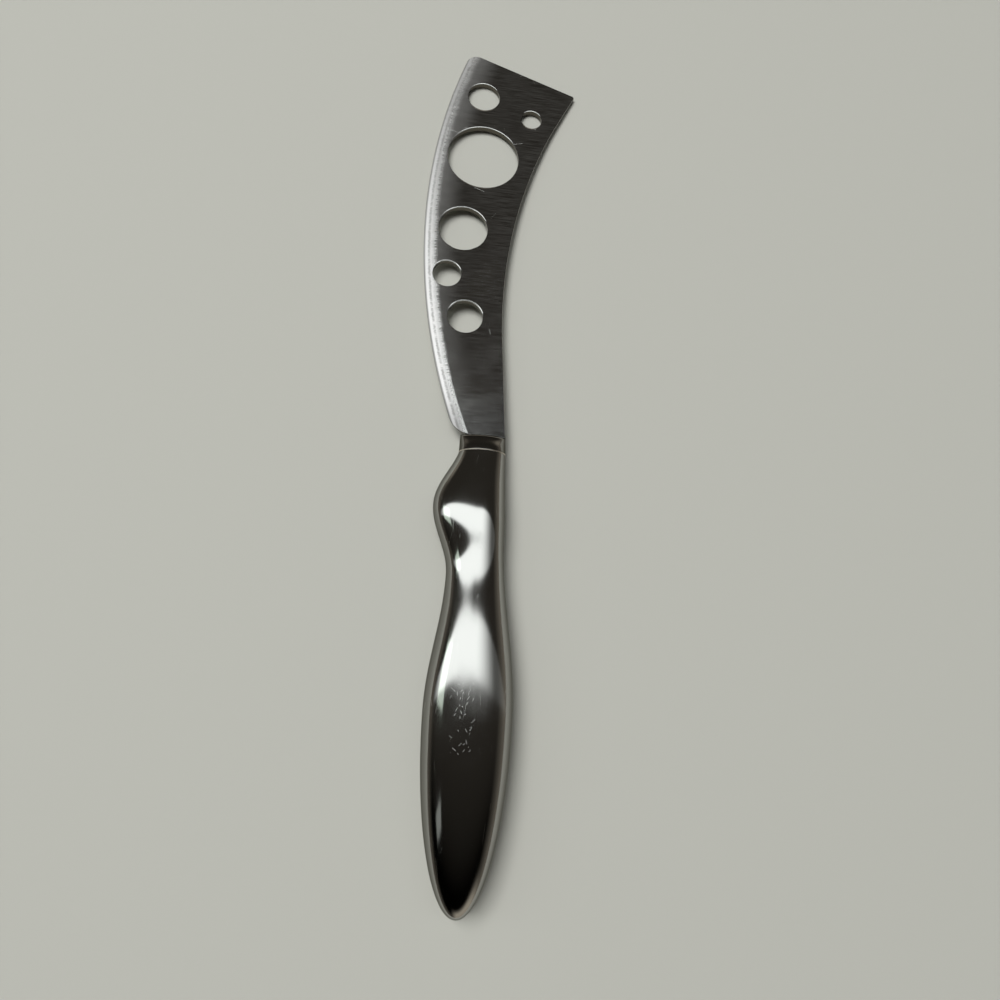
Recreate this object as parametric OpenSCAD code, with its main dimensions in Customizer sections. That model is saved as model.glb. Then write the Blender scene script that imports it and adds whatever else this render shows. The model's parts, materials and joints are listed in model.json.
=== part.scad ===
// Cheese knife with a flared, pierced blade and a hollow pressed handle.
// Millimetres. The knife lies on its side on the plane z = 0, as it does on a table:
// it rests on the handle's belly and on the whole tip edge. +Y runs from the handle's
// nose to the blade's tip, and -X is the side of the cutting edge and the finger guard.
// The origin is under the middle of the knife's box.
//
// The pieces are drawn in the knife's own frame first, with z = 0 in the middle of the
// blade's plate and y = 0 at the nose, and module lying() then lays them down.

/* [Blade] */
// Length of the blade from the bolster to the corner of the tip
blade_length = 133.2; // [125:0.1:150]
// Thickness of the plate
blade_thickness = 1.5; // [1:0.1:2.5]
// Radius of the convex cutting edge
edge_radius = 193.6; // [170:0.1:240]
// How far the cutting edge stands out from the knife's axis at its crest
edge_reach = 21.8; // [19.5:0.1:24]
// Distance of that crest from the bolster
edge_crest = 71.1; // [66:0.1:78]
// Width of the ground band along the cutting edge
bevel_width = 3.5; // [1.5:0.1:4]
// Thickness left at the cutting edge
edge_thickness = 0.3; // [0.2:0.05:0.6]
// Distance of the spine from the axis where it leaves the bolster
spine_start = 6.25; // [5.5:0.05:7]
// Lean of the straight start of the spine, towards the axis
spine_lean = 4.35; // [2:0.05:6]
// Length of that straight start
spine_straight = 30; // [20:0.5:35]
// Radius of the hollow stretch of the spine
spine_radius = 163; // [150:1:190]
// Flare of the straight end of the spine, away from the axis
spine_flare = 25; // [20:0.5:28]
// Distance of the tip's outer corner from the axis, on the cutting side
tip_corner = 11; // [9:0.1:13]
// Slant of the tip edge
tip_slant = 18.6; // [10:0.1:22]
// Rounding of the tip's corner at the cutting edge
tip_round = 3; // [1:0.1:4]
// Rounding of the tip's corner at the spine
spine_corner_round = 0.8; // [0.5:0.1:2]
// Rounding of the heel
heel_round = 8; // [6:0.1:9]

/* [Holes] */
// Diameter of the hole next to the tip's corner
tip_hole_d = 10.3; // [8:0.1:12]
// Distance of that hole back from the tip
tip_hole_back = 16.7; // [15:0.1:18]
// Distance of that hole from the axis, on the cutting side
tip_hole_x = 6.3; // [5:0.1:8]
// Diameter of the small hole near the spine
spine_hole_d = 6.6; // [4:0.1:9]
// Distance of that hole back from the tip
spine_hole_back = 23.1; // [22:0.1:25]
// Distance of that hole from the axis, on the spine side
spine_hole_x = 9.5; // [8.5:0.1:11]
// Diameter of the large hanging hole
hanging_hole_d = 22.5; // [16:0.1:24]
// Distance of that hole back from the tip
hanging_hole_back = 39.8; // [38:0.1:42]
// Distance of that hole from the axis, on the cutting side
hanging_hole_x = 5.3; // [4:0.1:6.5]
// Diameter of the middle hole
middle_hole_d = 15; // [10:0.1:17]
// Distance of that hole from the bolster
middle_hole_y = 66.7; // [65:0.1:68]
// Distance of that hole from the axis, on the cutting side
middle_hole_x = 10; // [8:0.1:10.5]
// Diameter of the hole next to the cutting edge
edge_hole_d = 8.6; // [6:0.1:10]
// Distance of that hole from the bolster
edge_hole_y = 50.6; // [49:0.1:51.5]
// Distance of that hole from the axis, on the cutting side
edge_hole_x = 13.9; // [12:0.1:14.2]
// Diameter of the hole next to the heel
heel_hole_d = 10.5; // [7:0.1:12]
// Distance of that hole from the bolster
heel_hole_y = 36.9; // [35.5:0.1:38]
// Distance of that hole from the axis, on the cutting side
heel_hole_x = 7.6; // [5:0.1:8.5]

/* [Bolster and tang] */
// Length of the bolster between the joint line and the blade
bolster_length = 5; // [3:0.1:8]
// Thickness of the bolster where it meets the blade
bolster_front_thickness = 2.2; // [2:0.1:3.6]
// Width of the bolster's front on the guard side
bolster_front_guard = 6.6; // [6:0.1:7.5]
// Length of the bolster's plug inside the handle
plug_length = 4; // [3:0.1:8]
// Width of the tang
tang_width = 7; // [5:0.1:7.5]
// Thickness of the tang, ground a little thinner than the plate
tang_thickness = 1.3; // [0.8:0.05:1.4]
// Length of the tang behind the plug
tang_length = 52; // [40:1:60]
// Diameter of the tang's two key holes
key_hole_d = 3; // [2:0.1:3.5]
// Thickness of the soldered joint
solder_thickness = 0.3; // [0.2:0.05:0.6]

/* [Handle] */
// Length of the handle from its nose to the joint line
handle_length = 118; // [114:0.5:130]
// Distance of the belly from the nose
belly_y = 48; // [40:0.5:56]
// Width of the belly, half on the guard side
belly_guard = 11.6; // [9:0.1:14]
// Width of the belly, half on the spine side
belly_spine = 11.7; // [9:0.1:14]
// Thickness of the belly
belly_thickness = 15.4; // [13:0.1:20]
// Distance of the waist from the nose
waist_y = 83.5; // [76:0.5:88]
// Width of the waist, half on the guard side
waist_guard = 8; // [7:0.1:9.5]
// Distance of the thinnest place behind the guard from the nose
shoulder_y = 86.3; // [82:0.1:92]
// Thickness of the handle there
shoulder_thickness = 11.6; // [10:0.1:14]
// How late the belly's thickness falls away towards that place, 1 for an even wave
shoulder_lean = 1.75; // [1:0.05:2.2]
// Distance of the thickest place at the guard from the nose
crest_y = 99.3; // [95:0.1:102]
// Distance of the guard's crest from the nose
guard_y = 102.6; // [98:0.1:106]
// How far the guard stands out from the axis
guard_reach = 12.8; // [11:0.1:16]
// Thickness of the handle there, at the guard
guard_thickness = 12.9; // [11:0.1:16]
// Distance of the neck from the nose, where the spine side stops falling
neck_y = 94; // [88:0.5:98]
// Width of the neck, half on the spine side
neck_spine = 7.35; // [6.8:0.05:8]
// Width of the mouth, half on the guard side
mouth_guard = 6.7; // [6.2:0.1:7.5]
// Width of the mouth, half on the spine side
mouth_spine = 6.5; // [6:0.1:7.5]
// Thickness of the mouth
mouth_thickness = 9; // [8:0.1:11]
// How far past the mouth the slopes of the handle would level out
mouth_overrun = 4; // [3:0.1:8]
// Wall of the pressed shells
wall = 0.9; // [0.6:0.05:1.2]
// Height of the weld between the shells
weld_height = 0.4; // [0.2:0.05:0.8]
// Length of the empty nose behind the cast core
empty_nose = 38; // [30:1:46]

/* [Fits] */
// Clearance between a piece and the pocket it sits in
fit_gap = 0.1; // [0.05:0.01:0.2]

/* [Hidden] */
$fn = 96;
// Segments round a handle section, and steps along its nose and its neck
ring_steps = 28;
nose_steps = 12;
neck_steps = 26;
bolster_steps = 8;
// A little extra so that cutters pass right through
extra = 1;

// The joint line, the bolster's front and the tip, measured from the nose
bolster_back = handle_length + solder_thickness;
bolster_front = bolster_back + bolster_length;
tip_y = bolster_front + blade_length;
plug_back = handle_length - plug_length;
core_front = plug_back - fit_gap;
tang_back = plug_back - tang_length;

// Blade outline: the cutting edge's centre, and the spine's joints and centre
edge_centre = [edge_radius - edge_reach, bolster_front + edge_crest];
spine_foot = [spine_start, bolster_front];
spine_bend = spine_foot + spine_straight * [-sin(spine_lean), cos(spine_lean)];
spine_centre = spine_bend + spine_radius * [cos(spine_lean), sin(spine_lean)];
spine_end = spine_centre + spine_radius * [-cos(spine_flare), sin(spine_flare)];

// Tip edge and the spine's flared end: their directions and their outward normals
tip_point = [-tip_corner, tip_y];
tip_along = [cos(tip_slant), -sin(tip_slant)];
tip_out = [sin(tip_slant), cos(tip_slant)];
flare_along = [sin(spine_flare), cos(spine_flare)];
flare_out = [cos(spine_flare), -sin(spine_flare)];

// Centres of the rounded corners
heel_below_crest = edge_crest - heel_round;
heel_circle = edge_centre
    - [sqrt(pow(edge_radius - heel_round, 2) - pow(heel_below_crest, 2)), heel_below_crest];
tip_circle = on_circle(tip_point - tip_round * tip_out, tip_along, edge_centre, edge_radius - tip_round);

// The corner at the spine is rounded against the flared end, or against the hollow arc
// where that arc reaches the tip first
corner_start = tip_point - spine_corner_round * tip_out;
flared_circle = meeting(spine_end - spine_corner_round * flare_out, flare_along, corner_start, tip_along);
flared = (flared_circle - spine_end) * flare_along > 0;
corner_circle = flared
    ? flared_circle
    : on_circle(corner_start, tip_along, spine_centre, spine_radius + spine_corner_round);
corner_out = flared ? flare_out : (spine_centre - corner_circle) / norm(spine_centre - corner_circle);

// Holes in the blade as [x, y, diameter], with y from the nose
HOLES = [
    [-tip_hole_x, tip_y - tip_hole_back, tip_hole_d],
    [spine_hole_x, tip_y - spine_hole_back, spine_hole_d],
    [-hanging_hole_x, tip_y - hanging_hole_back, hanging_hole_d],
    [-middle_hole_x, bolster_front + middle_hole_y, middle_hole_d],
    [-edge_hole_x, bolster_front + edge_hole_y, edge_hole_d],
    [-heel_hole_x, bolster_front + heel_hole_y, heel_hole_d]
];
KEY_HOLES = [for (share = [0.3, 0.75]) plug_back - share * tang_length];

// Half widths and half height along the handle as [y, size]: smooth waves join them
GUARD_SIDE = [
    [belly_y, belly_guard], [waist_y, waist_guard], [guard_y, guard_reach],
    past_mouth([guard_y, guard_reach], mouth_guard)
];
SPINE_SIDE = [
    [belly_y, belly_spine], [neck_y, neck_spine],
    past_mouth([neck_y, neck_spine], mouth_spine)
];
HALF_HEIGHT = [
    [belly_y, belly_thickness / 2], [shoulder_y, shoulder_thickness / 2],
    [crest_y, guard_thickness / 2],
    past_mouth([crest_y, guard_thickness / 2], mouth_thickness / 2)
];

// How the knife lies: tilted about the tip edge until the belly touches the table
plate_bottom = blade_thickness / 2;
lie_tilt = max([for (ring = handle_rings(0), point = ring) rest_angle(point)]);
edge_point = [-edge_reach, edge_centre.y, 0];
corner_point = [corner_circle.x + spine_corner_round, corner_circle.y, blade_thickness / 2];
nose_point = [0, 0, 0];
far_point = [tip_circle.x, tip_circle.y + tip_round, blade_thickness / 2];
middle = [
    (laid(edge_point).x + laid(corner_point).x) / 2,
    (laid(nose_point).y + laid(far_point).y) / 2
];

// Where two lines meet, each given by a point and a direction
function meeting(p, along, q, other) =
    p + along * (cross(q - p, other) / cross(along, other));

// The first point along a line that lies at a distance from a centre
function on_circle(p, along, centre, distance) =
    let (back = p - centre, half = back * along)
    p - along * (half + sqrt(half * half - back * back + distance * distance));

// Smooth wave from one value to the next
function wave(y, from, to) =
    let (share = (y - from[0]) / (to[0] - from[0]))
    from[1] + (to[1] - from[1]) * (1 - cos(180 * share)) / 2;

// End of a wave that starts at from, runs on past the mouth and has a given value at it
function past_mouth(from, value) =
    let (share = (handle_length - from[0]) / (handle_length + mouth_overrun - from[0]))
    [handle_length + mouth_overrun, from[1] + 2 * (value - from[1]) / (1 - cos(180 * share))];

// Value of a chain of waves at a distance y from the nose
function along_chain(y, chain, step = 0) =
    y <= chain[step + 1][0] || step == len(chain) - 2
        ? wave(min(y, chain[step + 1][0]), chain[step], chain[step + 1])
        : along_chain(y, chain, step + 1);

// Half height of the handle: the wave behind the belly leans towards the shoulder
function half_height(y) =
    let (run = shoulder_y - belly_y, share = max(0, min(1, (y - belly_y) / run)))
    along_chain(y < shoulder_y ? belly_y + run * pow(share, shoulder_lean) : y, HALF_HEIGHT);

// One oval section from its half widths on both sides and its half height
function section(y, guard_side, spine_side, height) = [
    for (step = [0 : ring_steps - 1])
        let (turn = 360 * step / ring_steps, across = cos(turn))
        [(across > 0 ? spine_side : guard_side) * across, y, height * sin(turn)]
];

// Sections of the handle, drawn in by inset: the nose is a quarter ellipse, the rest waves
function nose_ring(turn, inset) = section(
    belly_y - (belly_y - inset) * cos(turn),
    (belly_guard - inset) * sin(turn),
    (belly_spine - inset) * sin(turn),
    (belly_thickness / 2 - inset) * sin(turn)
);
function neck_ring(y, inset) = section(
    y,
    along_chain(y, GUARD_SIDE) - inset,
    along_chain(y, SPINE_SIDE) - inset,
    half_height(y) - inset
);
function handle_rings(inset, last = handle_length) = concat(
    [for (step = [1 : nose_steps]) nose_ring(90 * step / nose_steps, inset)],
    [for (step = [1 : neck_steps]) neck_ring(belly_y + (last - belly_y) * step / neck_steps, inset)]
);

// Tilt at which a point of the handle reaches the plane of the tip edge's underside
function rest_angle(point) =
    let (reach = (tip_point - [point.x, point.y]) * tip_out)
    atan2(-point.z - plate_bottom, reach);

// Place of a point, seen from above, when the knife lies
function laid(point) =
    let (
        offset = [point.x, point.y] - tip_point,
        reach = offset * tip_out * cos(lie_tilt) + (point.z + plate_bottom) * sin(lie_tilt)
    )
    tip_point + offset * tip_along * tip_along + reach * tip_out;

// Solid through a list of rings, closed at the first end by a pole or a flat cap
module loft(rings, pole = undef) {
    count = len(rings[0]);
    last = len(rings) - 1;
    start = is_undef(pole) ? 0 : 1;
    points = concat(is_undef(pole) ? [] : [pole], [for (ring = rings, point = ring) point]);
    skin = [
        for (ring = [0 : last - 1], step = [0 : count - 1])
            let (
                next = (step + 1) % count,
                a = start + ring * count + step,
                b = start + ring * count + next
            )
            each [[a, b, b + count], [a, b + count, a + count]]
    ];
    first_cap = is_undef(pole)
        ? [[for (step = [count - 1 : -1 : 0]) step]]
        : [for (step = [0 : count - 1]) [0, start + (step + 1) % count, start + step]];
    last_cap = [[for (step = [0 : count - 1]) start + last * count + step]];
    polyhedron(points = points, faces = concat(skin, first_cap, last_cap), convexity = 6);
}

// The handle's outer form and the hollow inside it
module handle_form() {
    loft(handle_rings(0), pole = [0, 0, 0]);
}
module handle_hollow(inset, last = handle_length + extra) {
    loft(handle_rings(inset, last), pole = [0, inset, 0]);
}
module handle_wall() {
    difference() {
        handle_form();
        handle_hollow(wall);
    }
}

// A flat slab right across the handle, from one height to another
module slab(low, high) {
    half = 2 * belly_spine;
    translate([-half, -extra, low])
        cube([2 * half, handle_length + 2 * extra, high - low]);
}

// What a rounded corner takes away: a square corner less the circle that rounds it
module corner_cut(centre, radius, first, second) {
    reach = 3 * radius;
    translate(centre)
        difference() {
            polygon([[0, 0], reach * first, reach * (first + second), reach * second]);
            circle(r = radius);
        }
}

// Outline of the blade without its tang
module blade_outline() {
    heel_turn = (heel_circle - edge_centre) / norm(heel_circle - edge_centre);
    tip_turn = (tip_circle - edge_centre) / norm(tip_circle - edge_centre);
    wide = 3 * edge_reach;
    deep = 2 * blade_length;
    difference() {
        intersection() {
            polygon([
                spine_foot, spine_bend, spine_end, spine_end + wide * flare_along,
                [-wide, spine_end.y + wide], [-wide, bolster_front]
            ]);
            polygon([
                tip_point - wide * tip_along, tip_point + wide * tip_along,
                tip_point + wide * tip_along - deep * tip_out, tip_point - wide * tip_along - deep * tip_out
            ]);
            translate(edge_centre) circle(r = edge_radius, $fn = 720);
        }
        translate(spine_centre) circle(r = spine_radius, $fn = 720);
        corner_cut(heel_circle, heel_round, heel_turn, [0, -1]);
        corner_cut(tip_circle, tip_round, tip_turn, tip_out);
        corner_cut(corner_circle, spine_corner_round, tip_out, corner_out);
    }
}

// Ring that grinds one side of the cutting edge to a slope
module edge_grind() {
    fall = (blade_thickness - edge_thickness) / 2;
    run = bevel_width + extra;
    translate([edge_centre.x, edge_centre.y, 0])
        rotate_extrude($fn = 720)
            polygon([
                [edge_radius - bevel_width, blade_thickness / 2],
                [edge_radius + extra, blade_thickness / 2 - fall * run / bevel_width],
                [edge_radius + extra, blade_thickness],
                [edge_radius - bevel_width, blade_thickness]
            ]);
}

// Blade with its tang, in the knife's own frame
module blade_form() {
    difference() {
        union() {
            difference() {
                linear_extrude(height = blade_thickness, center = true) blade_outline();
                edge_grind();
                mirror([0, 0, 1]) edge_grind();
            }
            translate([-tang_width / 2, tang_back, -tang_thickness / 2])
                cube([tang_width, bolster_front - tang_back + extra, tang_thickness]);
        }
        for (hole = HOLES)
            translate([hole[0], hole[1], 0])
                cylinder(h = blade_thickness + 2 * extra, d = hole[2], center = true);
        for (y = KEY_HOLES)
            translate([0, y, 0])
                cylinder(h = blade_thickness + 2 * extra, d = key_hole_d, center = true);
    }
}

// Room for the tang, with its clearance, from one distance from the nose to another
module tang_slot(from, to) {
    width = tang_width + 2 * fit_gap;
    height = tang_thickness + 2 * fit_gap;
    translate([-width / 2, from, -height / 2])
        cube([width, to - from, height]);
}

// Collar from the joint line down to the blade, with its plug in the handle's mouth
module bolster_form() {
    plug_inset = wall + fit_gap;
    plug_end = section(
        handle_length, mouth_guard - plug_inset, mouth_spine - plug_inset, mouth_thickness / 2 - plug_inset
    );
    difference() {
        union() {
            loft([
                for (step = [0 : bolster_steps])
                    let (y = bolster_back + bolster_length * step / bolster_steps)
                    section(
                        y,
                        wave(y, [bolster_back, mouth_guard], [bolster_front, bolster_front_guard]),
                        wave(y, [bolster_back, mouth_spine], [bolster_front, spine_start]),
                        wave(y, [bolster_back, mouth_thickness], [bolster_front, bolster_front_thickness]) / 2
                    )
            ]);
            loft([
                neck_ring(plug_back, plug_inset),
                neck_ring(handle_length - plug_length / 2, plug_inset),
                plug_end,
                [for (point = plug_end) point + [0, solder_thickness, 0]]
            ]);
        }
        tang_slot(plug_back - extra, bolster_front + extra);
    }
}

// Thin oval ring between the handle's mouth and the bolster
module solder_form() {
    difference() {
        loft([
            for (y = [handle_length, bolster_back])
                section(y, mouth_guard, mouth_spine, mouth_thickness / 2)
        ]);
        loft([
            for (y = [handle_length - extra, bolster_back + extra])
                section(y, mouth_guard - wall, mouth_spine - wall, mouth_thickness / 2 - wall)
        ]);
    }
}

// Cast core that fills the handle round the tang and through the tang's key holes
module core_form() {
    inset = wall + fit_gap;
    difference() {
        handle_hollow(inset, core_front);
        translate([-2 * belly_spine, -extra, -belly_thickness])
            cube([4 * belly_spine, empty_nose + extra, 2 * belly_thickness]);
        difference() {
            tang_slot(tang_back - fit_gap, handle_length);
            for (y = KEY_HOLES)
                translate([0, y, 0])
                    cylinder(h = blade_thickness + 2 * extra, d = key_hole_d - 2 * fit_gap, center = true);
        }
    }
}

// Lays the knife down on its belly and its tip edge
module lying() {
    translate([-middle.x, -middle.y, 0])
        translate([tip_point.x, tip_point.y, 0])
            rotate(a = -lie_tilt, v = [tip_along.x, tip_along.y, 0])
                translate([-tip_point.x, -tip_point.y, plate_bottom])
                    children();
}

module blade() {
    color([0.42, 0.43, 0.43]) lying() blade_form();
}

module bolster() {
    color([0.3, 0.3, 0.29]) lying() bolster_form();
}

module solder_joint() {
    color([0.72, 0.66, 0.58]) lying() solder_form();
}

module handle_upper() {
    color([0.62, 0.63, 0.62])
        lying()
            intersection() {
                handle_wall();
                slab(weld_height / 2, belly_thickness);
            }
}

module handle_lower() {
    color([0.55, 0.56, 0.55])
        lying()
            intersection() {
                handle_wall();
                slab(-belly_thickness, -weld_height / 2);
            }
}

module seam_weld() {
    color([0.66, 0.66, 0.64])
        lying()
            intersection() {
                handle_wall();
                slab(-weld_height / 2, weld_height / 2);
            }
}

module handle_core() {
    color([0.75, 0.72, 0.65]) lying() core_form();
}

blade();
bolster();
solder_joint();
handle_upper();
handle_lower();
seam_weld();
handle_core();
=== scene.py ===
import json
import logging
import math
from dataclasses import dataclass, field
from enum import Enum
from typing import Callable, Sequence

import bmesh
import bpy
from bpy.types import Material, Mesh, Node, NodeSocket, NodeTree, Object
from mathutils import Matrix, Vector
from mathutils.geometry import delaunay_2d_cdt

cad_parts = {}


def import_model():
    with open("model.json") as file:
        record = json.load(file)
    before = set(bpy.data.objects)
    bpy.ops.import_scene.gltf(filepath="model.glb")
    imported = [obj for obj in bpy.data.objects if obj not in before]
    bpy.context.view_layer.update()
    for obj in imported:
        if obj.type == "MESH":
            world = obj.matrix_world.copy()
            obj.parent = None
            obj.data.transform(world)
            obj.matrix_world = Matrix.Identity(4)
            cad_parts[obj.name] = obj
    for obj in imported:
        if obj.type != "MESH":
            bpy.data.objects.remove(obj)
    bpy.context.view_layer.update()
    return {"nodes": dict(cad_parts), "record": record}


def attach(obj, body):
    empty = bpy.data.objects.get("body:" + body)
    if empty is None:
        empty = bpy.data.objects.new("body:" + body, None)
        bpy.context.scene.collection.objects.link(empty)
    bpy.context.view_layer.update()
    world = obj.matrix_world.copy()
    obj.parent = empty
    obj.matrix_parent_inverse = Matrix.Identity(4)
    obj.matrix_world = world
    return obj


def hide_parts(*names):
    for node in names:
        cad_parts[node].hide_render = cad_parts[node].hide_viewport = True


MM = 0.001
BODY = "root"
LOG = logging.getLogger("cheese_knife")
FLAT = (1.0, 1.0, 0.0)
SKINS = ("outer", "inner")
STATION_SIZES = ("y", "guard", "spine", "height")
LENGTHWISE = "lengthwise"
ALONG_EDGE = "along_edge"
# A part of a unit normal that is above this counts as all of it.
SQUARE = 0.9999
# Millimetres: the least length that counts, the gap that is joined, and the precision of a cut.
TINY = 1e-4
WELDED = 1e-5
EXACT = 1e-6
# A distance from the nose at which there is no knife.
OFF_THE_KNIFE = -100.0

Station = tuple[float, float]
Triple = tuple[float, float, float]
Colour = tuple[float, float, float, float]
NormalAt = Callable[[Vector, Vector], Vector | None]
Outline = list[tuple[Vector, Vector]]
Surface = Callable[[Vector], tuple[float, Vector]]


def turned(degrees: float) -> Vector:
    """The unit vector in the plate's plane at an angle from +X."""
    return Vector((math.cos(math.radians(degrees)), math.sin(math.radians(degrees))))


def bearing(direction: Vector) -> float:
    """The angle of a flat vector from +X, in degrees."""
    return math.degrees(math.atan2(direction.y, direction.x))


def meeting(p: Vector, along: Vector, q: Vector, other: Vector) -> Vector:
    """The point where two lines meet, each given by a point and a direction."""
    return p + along * ((q - p).cross(other) / along.cross(other))


def wave(y: float, start: Station, end: Station) -> float:
    """Smooth half wave from one value to the next.

    Args:
        y: Distance from the nose, in millimetres.
        start: Distance and value where the wave starts.
        end: Distance and value where it ends.

    Returns:
        The value at y.
    """
    share = (y - start[0]) / (end[0] - start[0])
    return start[1] + (end[1] - start[1]) * (1 - math.cos(math.pi * share)) / 2


def along_chain(y: float, chain: Sequence[Station]) -> float:
    """Value of a chain of waves at a distance y from the nose."""
    for start, end in zip(chain, chain[1:]):
        if y <= end[0] or end is chain[-1]:
            return wave(min(y, end[0]), start, end)
    return chain[-1][1]


@dataclass(frozen=True)
class KnifeSizes:
    """The knife's driving sizes in millimetres, the same as the construction's.

    Each hole is given by its place across, its place along and its diameter. The tip's holes are counted
    back from the tip, the heel's from the bolster's front.
    """

    blade_length: float = 133.2
    blade_thickness: float = 1.5
    edge_radius: float = 193.6
    edge_reach: float = 21.8
    edge_crest: float = 71.1
    bevel_width: float = 3.5
    edge_thickness: float = 0.3
    spine_start: float = 6.25
    spine_lean: float = 4.35
    spine_straight: float = 30.0
    spine_radius: float = 163.0
    spine_flare: float = 25.0
    tip_corner: float = 11.0
    tip_slant: float = 18.6
    tip_round: float = 3.0
    spine_corner_round: float = 0.8
    heel_round: float = 8.0
    tip_holes: tuple[Triple, ...] = ((-6.3, 16.7, 10.3), (9.5, 23.1, 6.6), (-5.3, 39.8, 22.5))
    heel_holes: tuple[Triple, ...] = ((-10.0, 66.7, 15.0), (-13.9, 50.6, 8.6), (-7.6, 36.9, 10.5))
    bolster_length: float = 5.0
    bolster_front_thickness: float = 2.2
    bolster_front_guard: float = 6.6
    plug_length: float = 4.0
    tang_width: float = 7.0
    tang_thickness: float = 1.3
    tang_length: float = 52.0
    key_hole_d: float = 3.0
    key_hole_shares: tuple[float, float] = (0.3, 0.75)
    solder_thickness: float = 0.3
    handle_length: float = 118.0
    belly_y: float = 48.0
    belly_guard: float = 11.6
    belly_spine: float = 11.7
    belly_thickness: float = 15.4
    waist_y: float = 83.5
    waist_guard: float = 8.0
    shoulder_y: float = 86.3
    shoulder_thickness: float = 11.6
    shoulder_lean: float = 1.75
    crest_y: float = 99.3
    guard_y: float = 102.6
    guard_reach: float = 12.8
    guard_thickness: float = 12.9
    neck_y: float = 94.0
    neck_spine: float = 7.35
    mouth_guard: float = 6.7
    mouth_spine: float = 6.5
    mouth_thickness: float = 9.0
    mouth_overrun: float = 4.0
    wall: float = 0.9
    weld_height: float = 0.4
    fit_gap: float = 0.1

    @property
    def bolster_back(self) -> float:
        """Distance of the bolster's back from the nose."""
        return self.handle_length + self.solder_thickness

    @property
    def bolster_front(self) -> float:
        """Distance of the bolster's front from the nose."""
        return self.bolster_back + self.bolster_length

    @property
    def tip_y(self) -> float:
        """Distance of the tip from the nose."""
        return self.bolster_front + self.blade_length

    @property
    def plug_back(self) -> float:
        """Distance of the plug's back from the nose."""
        return self.handle_length - self.plug_length

    @property
    def tang_back(self) -> float:
        """Distance of the tang's back end from the nose."""
        return self.plug_back - self.tang_length

    @property
    def tip_point(self) -> Vector:
        """The point that the tip edge's line starts from."""
        return Vector((-self.tip_corner, self.tip_y))

    @property
    def tip_along(self) -> Vector:
        """Direction of the tip edge, from the cutting side to the spine."""
        return turned(-self.tip_slant)

    @property
    def tip_out(self) -> Vector:
        """Outward normal of the tip edge in the plate's plane."""
        return turned(90 - self.tip_slant)

    @property
    def edge_centre(self) -> Vector:
        """Centre of the convex cutting edge."""
        return Vector((self.edge_radius - self.edge_reach, self.bolster_front + self.edge_crest))


@dataclass(frozen=True)
class Hole:
    """A punched hole: its place in the knife's frame and its diameter, in millimetres."""

    x: float
    y: float
    diameter: float


def punched_holes(sizes: KnifeSizes) -> list[Hole]:
    """The six holes of the blade, from the tip to the heel."""
    from_tip = [Hole(x, sizes.tip_y - back, diameter) for x, back, diameter in sizes.tip_holes]
    return from_tip + [Hole(x, sizes.bolster_front + y, diameter) for x, y, diameter in sizes.heel_holes]


def key_holes(sizes: KnifeSizes) -> list[Hole]:
    """The two holes of the tang that the cast core fills."""
    places = [sizes.plug_back - share * sizes.tang_length for share in sizes.key_hole_shares]
    return [Hole(0.0, y, sizes.key_hole_d) for y in places]


class Lie:
    """How the knife lies: from its own frame in millimetres to the row's frame in metres."""

    def __init__(self, sizes: KnifeSizes, record: dict) -> None:
        """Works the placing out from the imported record's hanging hole.

        Args:
            sizes: The knife's sizes.
            record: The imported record, whose mount gives the plate's normal and one point.
        """
        mount = next(m for m in record["mounts"] if m["name"] == "hanging_hole")
        normal = Vector(mount["axis"])
        tilt = math.atan2(normal.xy.length, normal.z)
        tip = sizes.tip_point.to_3d()
        lift = Vector((0, 0, sizes.blade_thickness / 2))
        tilted = (
            Matrix.Translation(tip)
            @ Matrix.Rotation(-tilt, 4, sizes.tip_along.to_3d())
            @ Matrix.Translation(lift - tip)
        )
        hole = punched_holes(sizes)[len(sizes.tip_holes) - 1]
        shift = Vector(mount["pos_m"]) / MM - tilted @ Vector((hole.x, hole.y, 0))
        self.matrix: Matrix = Matrix.Scale(MM, 4) @ Matrix.Translation(shift) @ tilted
        self.back: Matrix = self.matrix.inverted()


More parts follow.
